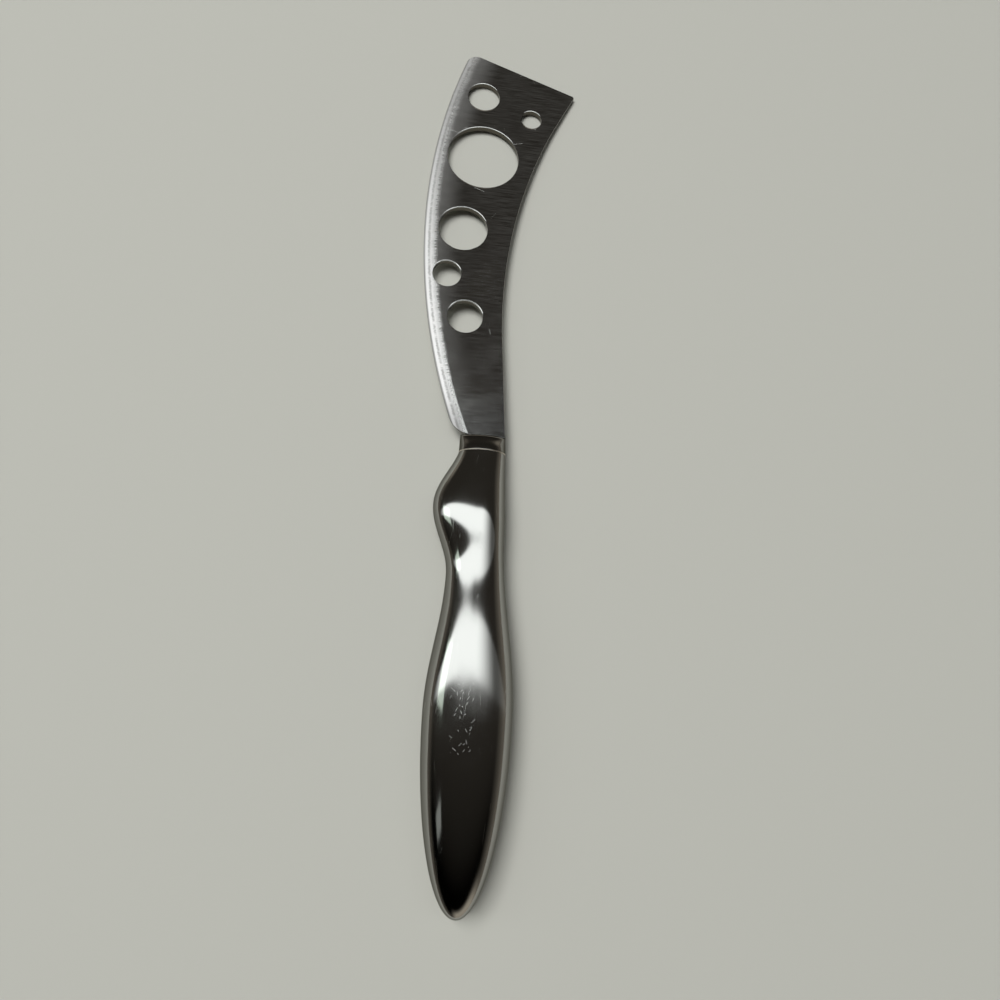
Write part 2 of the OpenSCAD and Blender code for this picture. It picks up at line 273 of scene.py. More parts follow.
@dataclass(frozen=True)
class HandleForm:
    """The handle's oval sections: two half widths and a half height at each distance."""

    sizes: KnifeSizes
    first_y: float = 0.02
    nose_until: float = 1.0
    nose_step: float = 0.002
    slope_step: float = 0.01

    def past_mouth(self, start: Station, value: float) -> Station:
        """End of a wave that runs on past the mouth and has a given value at the mouth."""
        s = self.sizes
        end = s.handle_length + s.mouth_overrun
        share = (s.handle_length - start[0]) / (end - start[0])
        return end, start[1] + 2 * (value - start[1]) / (1 - math.cos(math.pi * share))

    @property
    def chains(self) -> tuple[list[Station], list[Station], list[Station]]:
        """Chains of waves behind the nose: guard side, spine side and half height."""
        s = self.sizes
        guard = [(s.belly_y, s.belly_guard), (s.waist_y, s.waist_guard), (s.guard_y, s.guard_reach)]
        spine = [(s.belly_y, s.belly_spine), (s.neck_y, s.neck_spine)]
        height = [
            (s.belly_y, s.belly_thickness / 2),
            (s.shoulder_y, s.shoulder_thickness / 2),
            (s.crest_y, s.guard_thickness / 2),
        ]
        guard.append(self.past_mouth(guard[-1], s.mouth_guard))
        spine.append(self.past_mouth(spine[-1], s.mouth_spine))
        height.append(self.past_mouth(height[-1], s.mouth_thickness / 2))
        return guard, spine, height

    def section(self, y: float, inset: float = 0.0) -> Triple:
        """Half widths and half height at a distance from the nose.

        Args:
            y: Distance from the nose, in millimetres.
            inset: How far the surface is drawn in, for the inside of the wall.

        Returns:
            The half width on the guard side, on the spine side, and the half height.
        """
        s = self.sizes
        if y >= s.belly_y:
            guard, spine, height = self.chains
            run = s.shoulder_y - s.belly_y
            leaned = s.belly_y + run * ((y - s.belly_y) / run) ** s.shoulder_lean if y < s.shoulder_y else y
            return (
                along_chain(y, guard) - inset,
                along_chain(y, spine) - inset,
                along_chain(leaned, height) - inset,
            )
        share = math.sqrt(max(0.0, 1 - ((s.belly_y - y) / (s.belly_y - inset)) ** 2))
        return (
            (s.belly_guard - inset) * share,
            (s.belly_spine - inset) * share,
            (s.belly_thickness / 2 - inset) * share,
        )

    def normal(self, point: Vector) -> Vector:
        """Outward normal of the outer surface at a point on it, in the knife's frame."""
        s = self.sizes
        y = min(max(point.y, self.first_y), s.handle_length)
        side = 1 if point.x > 0 else 0
        step = self.slope_step if y > self.nose_until else self.nose_step
        here = self.section(y)
        ahead = self.section(y + step)
        behind = self.section(y - step)
        width = max(here[side], TINY)
        height = max(here[2], TINY)
        width_slope = (ahead[side] - behind[side]) / (2 * step)
        height_slope = (ahead[2] - behind[2]) / (2 * step)
        across = point.x / width
        up = point.z / height
        gradient = Vector((
            across / width,
            -across * across * width_slope / width - up * up * height_slope / height,
            up / height,
        ))
        return gradient.normalized()


@dataclass(frozen=True)
class Fade:
    """A smooth change from start to end while a value runs from low to high."""

    low: float
    high: float
    start: float = 0.0
    end: float = 1.0


Glow = tuple[tuple[str, Fade], ...]


class Signal:
    """A value in a node tree. Plain arithmetic on it adds Math nodes."""

    def __init__(self, net: "Wiring", socket: NodeSocket) -> None:
        """Keeps the tree's wiring and the output socket that carries the value."""
        self.net = net
        self.socket = socket

    def __add__(self, other: object) -> "Signal":
        """The sum with a number or another signal."""
        return self.net.math("ADD", self, other)

    def __mul__(self, other: object) -> "Signal":
        """The product with a number or another signal."""
        return self.net.math("MULTIPLY", self, other)

    def __sub__(self, other: object) -> "Signal":
        """What is left after taking the other away."""
        return self.net.math("SUBTRACT", self, other)

    def __rsub__(self, other: object) -> "Signal":
        """What is left of a number after taking this signal away."""
        return self.net.math("SUBTRACT", other, self)

    def __truediv__(self, other: object) -> "Signal":
        """The quotient with a number or another signal."""
        return self.net.math("DIVIDE", self, other)

    def __rtruediv__(self, other: object) -> "Signal":
        """A number divided by this signal."""
        return self.net.math("DIVIDE", other, self)

    def __abs__(self) -> "Signal":
        """The size without its sign."""
        return self.net.math("ABSOLUTE", self)


class Wiring:
    """Short calls that add and join the nodes of one tree."""

    def __init__(self, tree: NodeTree) -> None:
        """Keeps the tree that the calls work on."""
        self.tree = tree

    def join(self, value: object, socket: NodeSocket) -> None:
        """Links a signal or an output to an input socket, or sets the socket to a plain value."""
        source = value.socket if isinstance(value, Signal) else value
        if isinstance(source, NodeSocket):
            self.tree.links.new(source, socket)
        else:
            socket.default_value = source

    def node(self, kind: str, settings: dict | None = None, **inputs: object) -> Node:
        """Adds a node.

        Args:
            kind: The node's type name.
            settings: Properties of the node itself.
            inputs: Values or signals for its inputs, by name with _ for a space, or by in0, in1.

        Returns:
            The new node.
        """
        made = self.tree.nodes.new(kind)
        for name, value in (settings or {}).items():
            setattr(made, name, value)
        for name, value in inputs.items():
            numbered = name[:2] == "in" and name[2:].isdigit()
            self.join(value, made.inputs[int(name[2:]) if numbered else name.replace("_", " ")])
        return made

    def signal(
            self, kind: str, settings: dict | None = None, output: int | str = 0, **inputs: object) -> Signal:
        """Adds a node and gives one of its outputs, the first unless another is named."""
        return Signal(self, self.node(kind, settings, **inputs).outputs[output])

    def parts(self, value: object, kind: str = "ShaderNodeSeparateXYZ") -> list[Signal]:
        """Splits a vector, or a colour, into its three values."""
        return [Signal(self, socket) for socket in self.node(kind, in0=value).outputs]

    def combine(self, x: object, y: object, z: object = 0.0) -> Signal:
        """Makes a vector from three values."""
        return self.signal("ShaderNodeCombineXYZ", in0=x, in1=y, in2=z)

    def math(self, operation: str, first: object, second: object = 0.0) -> Signal:
        """Adds a Math node and gives its value."""
        return self.signal("ShaderNodeMath", {"operation": operation}, in0=first, in1=second)

    def vector(self, operation: str, first: object, second: object = (0.0, 0.0, 0.0)) -> Signal:
        """Adds a Vector Math node and gives its vector, or its value where it measures a distance."""
        output = "Value" if operation in ("LENGTH", "DISTANCE") else 0
        return self.signal("ShaderNodeVectorMath", {"operation": operation}, output, in0=first, in1=second)

    def scaled(self, vector: object, factor: object) -> Signal:
        """Multiplies a vector by a number."""
        return self.signal("ShaderNodeVectorMath", {"operation": "SCALE"}, in0=vector, Scale=factor)

    def smooth(self, value: object, low: object, high: object, start: float = 0.0, end: float = 1.0) -> Signal:
        """Adds a smooth step from low to high that gives start to end."""
        settings = {"interpolation_type": "SMOOTHSTEP"}
        return self.signal("ShaderNodeMapRange", settings, in0=value, in1=low, in2=high, in3=start, in4=end)

    def fade(self, value: object, fade: Fade) -> Signal:
        """Adds the smooth step that a fade describes."""
        return self.smooth(value, fade.low, fade.high, fade.start, fade.end)

    def ramp(self, value: object, ends: Fade) -> Signal:
        """Adds a straight, clamped ramp between a fade's ends."""
        return self.signal(
            "ShaderNodeMapRange", in0=value, in1=ends.low, in2=ends.high, in3=ends.start, in4=ends.end)

    def blend(self, factor: object, first: object, second: object) -> Signal:
        """Adds a mix of two numbers."""
        return self.signal("ShaderNodeMix", {"data_type": "FLOAT"}, in0=factor, in2=first, in3=second)

    def tint(self, factor: object, first: object, second: object) -> Signal:
        """Adds a mix of two colours."""
        return self.signal("ShaderNodeMix", {"data_type": "RGBA"}, 2, in0=factor, in6=first, in7=second)

    def noise(self, place: object, seed: object, detail: float, roughness: float) -> Signal:
        """Adds plain noise, one feature to each unit of place."""
        return self.signal(
            "ShaderNodeTexNoise", {"noise_dimensions": "4D"},
            Vector=place, W=seed, Scale=1.0, Detail=detail, Roughness=roughness,
        )


class SocketKind(Enum):
    """The kinds of socket that the groups have."""

    VALUE = "NodeSocketFloat"
    WHOLE = "NodeSocketInt"
    VECTOR = "NodeSocketVector"
    SOLID = "NodeSocketGeometry"
    FINISH = "NodeSocketMaterial"


Sockets = dict[str, SocketKind | float]


class NewGroup(Wiring):
    """A node group with named sockets, while it is wired."""

    def __init__(self, name: str, kind: str, inputs: Sockets, outputs: Sockets) -> None:
        """Starts the group.

        Args:
            name: The group's name.
            kind: ShaderNodeTree or GeometryNodeTree.
            inputs: Each input's default number, or its kind where it has no default.
            outputs: Each output's kind.
        """
        super().__init__(bpy.data.node_groups.new(name, kind))
        for label, value in inputs.items():
            number = SocketKind.WHOLE if isinstance(value, int) else SocketKind.VALUE
            plain = not isinstance(value, SocketKind)
            socket = number if plain else value
            made = self.tree.interface.new_socket(label, in_out="INPUT", socket_type=socket.value)
            if plain:
                made.default_value = value
        for label, socket in outputs.items():
            self.tree.interface.new_socket(label, in_out="OUTPUT", socket_type=socket.value)
        entry = self.tree.nodes.new("NodeGroupInput")
        self.given = {label: Signal(self, entry.outputs[label]) for label in inputs}
        self.out = self.tree.nodes.new("NodeGroupOutput")

    def finish(self, *values: Signal) -> NodeTree:
        """Joins the values to the group's outputs, in their order, and gives the finished tree."""
        for value, socket in zip(values, self.out.inputs):
            self.join(value, socket)
        return self.tree


class EffectGroups:
    """Shader groups that several finishes share. Distances are in millimetres."""

    broad_stretch: Triple = (0.45, 0.13, 0.13)
    shortest_scratch: float = 0.2
    scratch_taper: tuple[float, float] = (0.2, 0.5)
    smallest_pit: float = 0.3
    pit_floor: float = 0.4
    cloud_edge: Fade = Fade(0.35, 0.7)

    def __init__(self) -> None:
        """Builds each group once."""
        self.grain = self.grain_group()
        self.scratches = self.scratch_group()
        self.pits = self.pit_group()
        self.smudges = self.smudge_group()

    def grain_group(self) -> NodeTree:
        """Fine parallel grinding lines along the first axis of the vector."""
        net = NewGroup(
            "grinding_grain", "ShaderNodeTree",
            {"Vector": SocketKind.VECTOR, "Length": 8.0, "Pitch": 0.25, "Seed": 0.0},
            {"Height": SocketKind.VALUE, "Tone": SocketKind.VALUE},
        )
        seed, across = net.given["Seed"], 1.0 / net.given["Pitch"]
        stretch = net.combine(1.0 / net.given["Length"], across, across)
        place = net.vector("MULTIPLY", net.given["Vector"], stretch)
        fine = net.noise(place, seed, detail=3.0, roughness=0.65)
        broad = net.noise(net.vector("MULTIPLY", place, self.broad_stretch), seed, detail=2.0, roughness=0.6)
        return net.finish(fine, net.blend(0.5, fine, broad))

    def scratch_group(self) -> NodeTree:
        """Separate straight scratches, one at most in each cell, roughly along the first axis."""
        net = NewGroup(
            "separate_scratches", "ShaderNodeTree",
            {
                "Vector": SocketKind.VECTOR, "Cell": 4.0, "Width": 0.08, "Length": 3.0, "Spread": 0.3,
                "Share": 0.5,
            },
            {"Mask": SocketKind.VALUE},
        )
        cell = net.given["Cell"]
        place = net.scaled(net.vector("MULTIPLY", net.given["Vector"], FLAT), 1.0 / cell)
        cells = net.node("ShaderNodeTexVoronoi", {"voronoi_dimensions": "2D"}, Vector=place, Scale=1.0)
        x, y, _ = net.parts(net.vector("SUBTRACT", place, cells.outputs["Position"]))
        chance = net.parts(cells.outputs["Color"], "ShaderNodeSeparateColor")
        angle = (chance[0] - 0.5) * net.given["Spread"]
        cosine, sine = net.math("COSINE", angle), net.math("SINE", angle)
        along = abs(x * cosine + y * sine) * cell
        across = abs(y * cosine - x * sine) * cell
        reach = net.given["Length"] * (chance[1] + self.shortest_scratch)
        line = net.smooth(across, 0.0, net.given["Width"], 1.0, 0.0)
        full, gone = (reach * share for share in self.scratch_taper)
        ends = net.smooth(along, full, gone, 1.0, 0.0)
        return net.finish(line * ends * net.math("LESS_THAN", chance[2], net.given["Share"]))

    def pit_group(self) -> NodeTree:
        """Small round pits scattered at random."""
        net = NewGroup(
            "small_pits", "ShaderNodeTree",
            {"Vector": SocketKind.VECTOR, "Cell": 3.0, "Radius": 0.15, "Share": 0.4},
            {"Mask": SocketKind.VALUE},
        )
        cell = net.given["Cell"]
        place = net.scaled(net.given["Vector"], 1.0 / cell)
        cells = net.node("ShaderNodeTexVoronoi", Vector=place, Scale=1.0)
        chance = net.parts(cells.outputs["Color"], "ShaderNodeSeparateColor")
        size = net.given["Radius"] * (chance[1] + self.smallest_pit)
        away = Signal(net, cells.outputs["Distance"]) * cell
        spot = net.smooth(away, size * self.pit_floor, size, 1.0, 0.0)
        return net.finish(spot * net.math("LESS_THAN", chance[0], net.given["Share"]))

    def smudge_group(self) -> NodeTree:
        """Slow, cloudy change of the polish, from handling."""
        net = NewGroup(
            "handling_smudges", "ShaderNodeTree",
            {"Vector": SocketKind.VECTOR, "Size": 9.0}, {"Mask": SocketKind.VALUE},
        )
        place = net.scaled(net.given["Vector"], 1.0 / net.given["Size"])
        cloud = net.signal(
            "ShaderNodeTexNoise", Vector=place, Scale=1.0, Detail=4.0, Roughness=0.6, Distortion=0.4)
        return net.finish(net.fade(cloud, self.cloud_edge))


class FinishBase(Wiring):
    """What all finishes share: a new material and the knife's own coordinates."""

    def __init__(self, name: str, lie: Lie, groups: EffectGroups) -> None:
        """Starts a material.

        Args:
            name: The material's name.
            lie: The knife's placing, used to read patterns in its own frame.
            groups: The shared effect groups.
        """
        self.material = bpy.data.materials.new(name)
        self.material.use_nodes = True
        super().__init__(self.material.node_tree)
        self.tree.nodes.clear()
        self.groups = groups
        self.shader = self.node("ShaderNodeBsdfPrincipled")
        self.node("ShaderNodeOutputMaterial", in0=self.shader.outputs[0])
        self.place = self.signal(
            "ShaderNodeMapping", Vector=self.node("ShaderNodeTexCoord").outputs["Object"],
            Location=lie.back.translation, Rotation=lie.back.to_quaternion().to_euler(), Scale=(1 / MM,) * 3,
        )
        self.x, self.y, self.z = self.parts(self.place)
        self.lengthwise = self.combine(self.y, self.x, self.z)

    def effect(self, group: NodeTree, vector: Signal, **inputs: object) -> dict[str, Signal]:
        """Places a shared group in this material with its own values, and gives its outputs by name."""
        made = self.node("ShaderNodeGroup", {"node_tree": group}, Vector=vector, **inputs)
        return {socket.name: Signal(self, socket) for socket in made.outputs}

    def levelness(self) -> Signal:
        """How level the surface is: 1 on a level face and 0 on an upright wall."""
        return abs(self.parts(self.node("ShaderNodeNewGeometry").outputs["Normal"])[2])

    def bump(self, height: Signal, millimetres: float, normal: Signal | None = None) -> Signal:
        """Adds a Bump node, on top of an earlier normal where one is given."""
        made = self.node("ShaderNodeBump", Height=height, Distance=millimetres * MM, Strength=1.0)
        if normal is not None:
            self.join(normal, made.inputs["Normal"])
        return Signal(self, made.outputs[0])

    def shade(self, **values: object) -> Material:
        """Joins signals to the shader's sockets, or sets them to plain values, and gives the material.

        Args:
            values: Signals and values by the socket's name, with _ for a space.

        Returns:
            The finished material.
        """
        for name, value in values.items():
            self.join(value, self.shader.inputs[name.replace("_", " ")])
        return self.material


@dataclass(frozen=True)
class BrushedBlade:
    """Steel brushed across the blade, with a coarser ground band along the cutting edge whose brightness is
    painted sheen, and painted shade at the heel, on the walls and along the very edge.

    Fades named for the heel or the tip run along the blade, in millimetres from the handle's nose. The
    others run across the band, in millimetres from its inner border or from the edge, or over a pattern.
    """

    plate_colour: Colour = (0.46, 0.455, 0.44, 1.0)
    streak_colour: Colour = (0.64, 0.64, 0.625, 1.0)
    # Painted sheen: the ground band's near-white colour and low metallic stand in for its bright reflection.
    ground_sheen_colour: Colour = (0.97, 0.97, 0.965, 1.0)
    mottle_and_edge_shade_colour: Colour = (0.36, 0.36, 0.35, 1.0)
    wall_shade_colour: Colour = (0.12, 0.11, 0.09, 1.0)
    heel_shade_colour: Colour = (0.09, 0.09, 0.095, 1.0)
    plate_roughness: float = 0.07
    ground_roughness: float = 0.55
    roughness_spread: float = 0.05
    smudge_roughness: float = 0.04
    ground_sheen_metallic: float = 0.1
    brush_depth: float = 0.0025
    roll_width: float = 0.36
    roll_depth: float = 0.085
    grind_depth: float = 0.03
    nick_depth: float = 0.02
    anisotropy: float = 0.7
    grind_raggedness: float = 2.6
    brush_raggedness: float = 2.4
    heel_narrowing: Fade = Fade(122.0, 165.0, -1.0, 0.0)
    full_until_tip: Fade = Fade(130.0, 240.0, -1.5, -3.2)
    gone_at_tip: Fade = Fade(130.0, 240.0, 1.3, 2.6)
    band_to_tip: Fade = Fade(150.0, 250.0, 1.0, 0.48)
    halo_to_tip: Fade = Fade(122.0, 215.0, 0.5, 1.8)
    heel_darkening: Fade = Fade(123.0, 139.0, 0.5, 0.0)
    sheen_halo: Fade = Fade(0.0, 8.0, 0.085, 0.0)
    mottle_depth: float = 2.0
    mottle_wander: float = 0.8
    mottle_line: Fade = Fade(0.1, 0.55, 0.75, 0.0)
    mottle_gaps: Fade = Fade(0.35, 0.55)
    edge_shade_line: Fade = Fade(0.3, 0.6, 1.0, 0.0)
    streaks: Fade = Fade(0.36, 0.64)
    streak_dullness: tuple[float, float] = (0.005, 0.038)
    wall: Fade = Fade(0.1, 0.35, 1.0, 0.0)

    def make(self, lie: Lie, groups: EffectGroups, sizes: KnifeSizes) -> Material:
        """Builds the material.

        Args:
            lie: The knife's placing.
            groups: The shared effect groups.
            sizes: The knife's sizes, which place the ground band.

        Returns:
            The finished material.
        """
        net = FinishBase("blade_steel", lie, groups)
        flat = net.vector("MULTIPLY", net.place, FLAT)
        spoke = net.vector("SUBTRACT", flat, sizes.edge_centre.to_3d())
        depth = sizes.edge_radius - net.vector("LENGTH", spoke)
        x, y, _ = net.parts(spoke)
        polar = net.combine(depth, net.math("ARCTAN2", y, x) * sizes.edge_radius)
        brush = net.effect(groups.grain, net.place, Length=7.0, Pitch=0.24, Seed=1.0)
        feather = net.effect(groups.grain, polar, Length=4.0, Pitch=0.4, Seed=4.0)["Height"]
        grind = net.effect(groups.grain, polar, Length=3.0, Pitch=0.45, Seed=9.0)
        nicks = net.effect(
            groups.scratches, net.place, Cell=9.0, Width=0.07, Length=5.0, Spread=2.6, Share=0.3)["Mask"]
        smudge = net.effect(groups.smudges, net.place, Size=14.0)["Mask"]
        uneven = brush["Tone"] - 0.5

        ragged = (feather - 0.5) * self.grind_raggedness + depth
        ragged = uneven * self.brush_raggedness + ragged - sizes.bevel_width
        past = ragged - net.fade(net.y, self.heel_narrowing)
        full_until, gone_at = net.fade(net.y, self.full_until_tip), net.fade(net.y, self.gone_at_tip)
        band = net.smooth(past, full_until, gone_at, 1.0, 0.0) * net.fade(net.y, self.band_to_tip)
        # Painted sheen: a faint share of the band's near-white colour spreads over the plate beside the band,
        # more towards the tip.
        sheen_halo = net.fade(ragged, self.sheen_halo) * net.fade(net.y, self.halo_to_tip)
        ground = net.math("MAXIMUM", band, sheen_halo)

        # Mottle: a broken darker line about 2 mm in from the edge. The dark line along the very edge is
        # painted shade.
        line = net.fade(abs(feather * self.mottle_wander + depth - self.mottle_depth), self.mottle_line)
        mottle = line * net.fade(grind["Tone"], self.mottle_gaps)
        dark = net.math("MAXIMUM", mottle, net.fade(depth, self.edge_shade_line))
        bright = net.tint(dark, self.ground_sheen_colour, self.mottle_and_edge_shade_colour)
        streaks = net.fade(brush["Height"], self.streaks)
        dull = net.blend(streaks, *self.streak_dullness) * (1.0 - ground)
        colour = net.tint(ground, net.tint(streaks, self.plate_colour, self.streak_colour), bright)
        # Painted shade: the plate next to the bolster is darkened towards a near-black colour.
        colour = net.tint(net.fade(net.y, self.heel_darkening), colour, self.heel_shade_colour)
        # Painted shade: upright walls, in the holes and round the outline, get a dark brown colour.
        wall = net.fade(net.levelness(), self.wall)
        ground = ground * (1.0 - wall)

        rough = smudge * self.smudge_roughness + net.blend(ground, self.plate_roughness, self.ground_roughness)
        normal = net.bump(brush["Height"], self.brush_depth)
        normal = net.bump(grind["Height"] * ground, self.grind_depth, normal)
        normal = net.bump(nicks, -self.nick_depth, normal)
        normal = net.bump(self.rolled(net, flat, punched_holes(sizes)), self.roll_depth, normal)
        tangents = [
            net.signal("ShaderNodeTangent", {"direction_type": "UV_MAP", "uv_map": name})
            for name in (LENGTHWISE, ALONG_EDGE)
        ]
        turn = net.signal(
            "ShaderNodeMix", {"data_type": "VECTOR"}, 1, in0=ground, in4=tangents[0], in5=tangents[1])
        return net.shade(
            Base_Color=net.tint(wall, colour, self.wall_shade_colour),
            Roughness=uneven * self.roughness_spread + rough,
            Normal=normal, Metallic=net.blend(ground, 1.0, self.ground_sheen_metallic) - dull,
            Anisotropic=self.anisotropy, Tangent=turn,
        )

    def rolled(self, net: Wiring, flat: Signal, holes: list[Hole]) -> Signal:
        """Adds the nodes for the roll that a punch leaves round each hole, as a height from 0 to 1."""
        height: object = 1.0
        for hole in holes:
            away = net.vector("DISTANCE", flat, (hole.x, hole.y, 0.0))
            reach = hole.diameter / 2
            height = net.math("MINIMUM", height, net.smooth(away, reach, reach + self.roll_width))
        return height


@dataclass(frozen=True)
class PolishedSteel:
    """Polished steel with fine lengthwise lines, scratches, a patch of small marks and pits, and painted shade
    on its flanks.
    """

    name: str
    colour: Colour = (0.53, 0.525, 0.51, 1.0)
    flank_shade_colour: Colour = (0.28, 0.275, 0.26, 1.0)
    worn_colour: Colour = (0.74, 0.73, 0.71, 1.0)
    tinge: Colour = (0.42, 0.42, 0.4, 1.0)
    roughness: float = 0.085
    roughness_spread: float = 0.05
    smudge_roughness: float = 0.03
    worn_roughness: float = 0.3
    line_depth: float = 0.0045
    scratch_depth: float = 0.012
    flank: Fade = Fade(0.5, 0.85, 1.0, 0.0)
    hair_share: float = 0.5
    marked_x: float = -1.8
    marked_y: float = 46.0
    marked_across: Fade = Fade(1.2, 4.2, 1.0, 0.0)
    marked_along: Fade = Fade(5.5, 13.2, 1.0, 0.0)

    def make(self, lie: Lie, groups: EffectGroups) -> Material:
        """Builds the material in the knife's frame and returns it."""
        net = FinishBase(self.name, lie, groups)
        lines = net.effect(groups.grain, net.lengthwise, Length=22.0, Pitch=0.35, Seed=7.0)
        hair = net.effect(
            groups.scratches, net.lengthwise, Cell=5.5, Width=0.06, Length=6.0, Spread=0.5, Share=0.55)["Mask"]
        stray = net.effect(
            groups.scratches, net.lengthwise, Cell=1.4, Width=0.05, Length=1.9, Spread=2.0, Share=0.5)["Mask"]
        pits = net.effect(groups.pits, net.place, Cell=1.1, Radius=0.12, Share=0.3)["Mask"]
        smudge = net.effect(groups.smudges, net.place, Size=11.0)["Mask"]
        marked = net.fade(abs(net.y - self.marked_y), self.marked_along)
        marked = marked * net.fade(abs(net.x - self.marked_x), self.marked_across)
        worn = net.math("MAXIMUM", hair * self.hair_share, net.math("MAXIMUM", stray, pits) * marked)
        # Painted shade: the colour darkens where the surface turns upright, on the flanks.
        plain = net.tint(net.fade(net.levelness(), self.flank), self.colour, self.flank_shade_colour)
        rough = smudge * self.smudge_roughness + self.roughness
        rough = (lines["Tone"] - 0.5) * self.roughness_spread + rough
        return net.shade(
            Base_Color=net.tint(worn, plain, self.worn_colour), Roughness=worn * self.worn_roughness + rough,
            Normal=net.bump(worn, -self.scratch_depth, net.bump(lines["Height"], self.line_depth)),
            Metallic=1.0, Specular_Tint=self.tinge,
        )


@dataclass(frozen=True)
class FiledSolder:
    """The thin line of filler metal, a little warmer and duller than the steel."""

    colour: Colour = (0.62, 0.54, 0.45, 1.0)
    pale: Colour = (0.78, 0.74, 0.68, 1.0)
    roughness: float = 0.38
    roughness_spread: float = 0.2
    file_depth: float = 0.01

    def make(self, lie: Lie, groups: EffectGroups) -> Material:
        """Builds the material in the knife's frame and returns it."""
        net = FinishBase("solder", lie, groups)
        grain = net.effect(groups.grain, net.place, Length=1.2, Pitch=0.15, Seed=3.0)
        return net.shade(
            Base_Color=net.tint(grain["Tone"], self.colour, self.pale),
            Roughness=grain["Tone"] * self.roughness_spread + self.roughness,
            Normal=net.bump(grain["Height"], self.file_depth), Metallic=1.0,
        )


@dataclass(frozen=True)
class CastCement:
    """Matt, slightly mottled cement with small voids."""

    colour: Colour = (0.56, 0.52, 0.45, 1.0)
    pale: Colour = (0.68, 0.65, 0.58, 1.0)
    roughness: float = 0.85
    roughness_spread: float = 0.1
    void_depth: float = 0.2

    def make(self, lie: Lie, groups: EffectGroups) -> Material:
        """Builds the material in the knife's frame and returns it."""
        net = FinishBase("cement", lie, groups)
        cloud = net.effect(groups.smudges, net.place, Size=3.0)["Mask"]
        voids = net.effect(groups.pits, net.place, Cell=1.6, Radius=0.3, Share=0.6)["Mask"]
        return net.shade(
            Base_Color=net.tint(cloud, self.colour, self.pale),
            Roughness=cloud * self.roughness_spread + self.roughness, Normal=net.bump(voids, -self.void_depth),
        )


def new_piece(name: str, mesh: Mesh, material: Material) -> Object:
    """Adds an object with one material to the scene."""
    piece = bpy.data.objects.new(name, mesh)
    bpy.context.scene.collection.objects.link(piece)
    mesh.materials.clear()
    mesh.materials.append(material)
    return piece


def finished_piece(name: str, mesh: Mesh, normal_at: NormalAt, lie: Lie, material: Material) -> Object:
    """Adds a mesh as a piece, with exact normals so that reflections run smoothly across its faces.

    Args:
        name: The piece's name.
        mesh: The mesh, still in the knife's frame.
        normal_at: Gives the normal for a point and its face's normal, or None for a flat face.
        lie: The knife's placing, which moves the mesh to the row's frame.
        material: The piece's material.

    Returns:
        The piece, in place.
    """
    for polygon in mesh.polygons:
        polygon.use_smooth = True
    normals = [Vector((0, 0, 1))] * len(mesh.loops)
    for polygon in mesh.polygons:
        flat = polygon.normal.copy()
        for corner in polygon.loop_indices:
            point = mesh.vertices[mesh.loops[corner].vertex_index].co
            normals[corner] = normal_at(point, flat) or flat
    mesh.normals_split_custom_set(normals)
    normals = [Vector(corner.vector) for corner in mesh.corner_normals]
    turn = lie.matrix.to_quaternion()
    mesh.transform(lie.matrix)
    mesh.normals_split_custom_set([turn @ normal for normal in normals])
    return new_piece(name, mesh, material)


class SweptGrid(NewGroup):
    """Geometry nodes that bend a grid into a skin with its own material."""

    def __init__(self, name: str, inputs: Sockets, columns: Callable[[dict], Signal]) -> None:
        """Starts the tree.

        Args:
            name: The group's name.
            inputs: Its inputs, the first of them the geometry that it is run on.
            columns: Gives the number of points in a row, from the inputs.
        """
        inputs = {**inputs, "Material": SocketKind.FINISH}
        super().__init__(name, "GeometryNodeTree", inputs, {"Geometry": SocketKind.SOLID})
        self.columns = columns(self.given)
        index = self.signal("GeometryNodeInputIndex")
        self.row = self.math("FLOOR", (index + 0.5) / self.columns)
        self.column = index - self.row * self.columns

    def bent(self, rows: object, place: Signal, seam: float) -> NodeTree:
        """Puts each point of the grid in its place, joins the seams and finishes the tree.

        Args:
            rows: The number of rows.
            place: The place of the point with this row and column.
            seam: Points nearer than this are joined, in millimetres.

        Returns:
            The finished tree.
        """
        grid = self.signal("GeometryNodeMeshGrid", Vertices_X=rows, Vertices_Y=self.columns)
        moved = self.signal("GeometryNodeSetPosition", Geometry=grid, Position=place)
        merged = self.signal("GeometryNodeMergeByDistance", Geometry=moved, Distance=seam)
        whole = self.signal("GeometryNodeRealizeInstances", Geometry=merged)
        material = self.given["Material"]
        return self.finish(self.signal("GeometryNodeSetMaterial", Geometry=whole, Material=material))


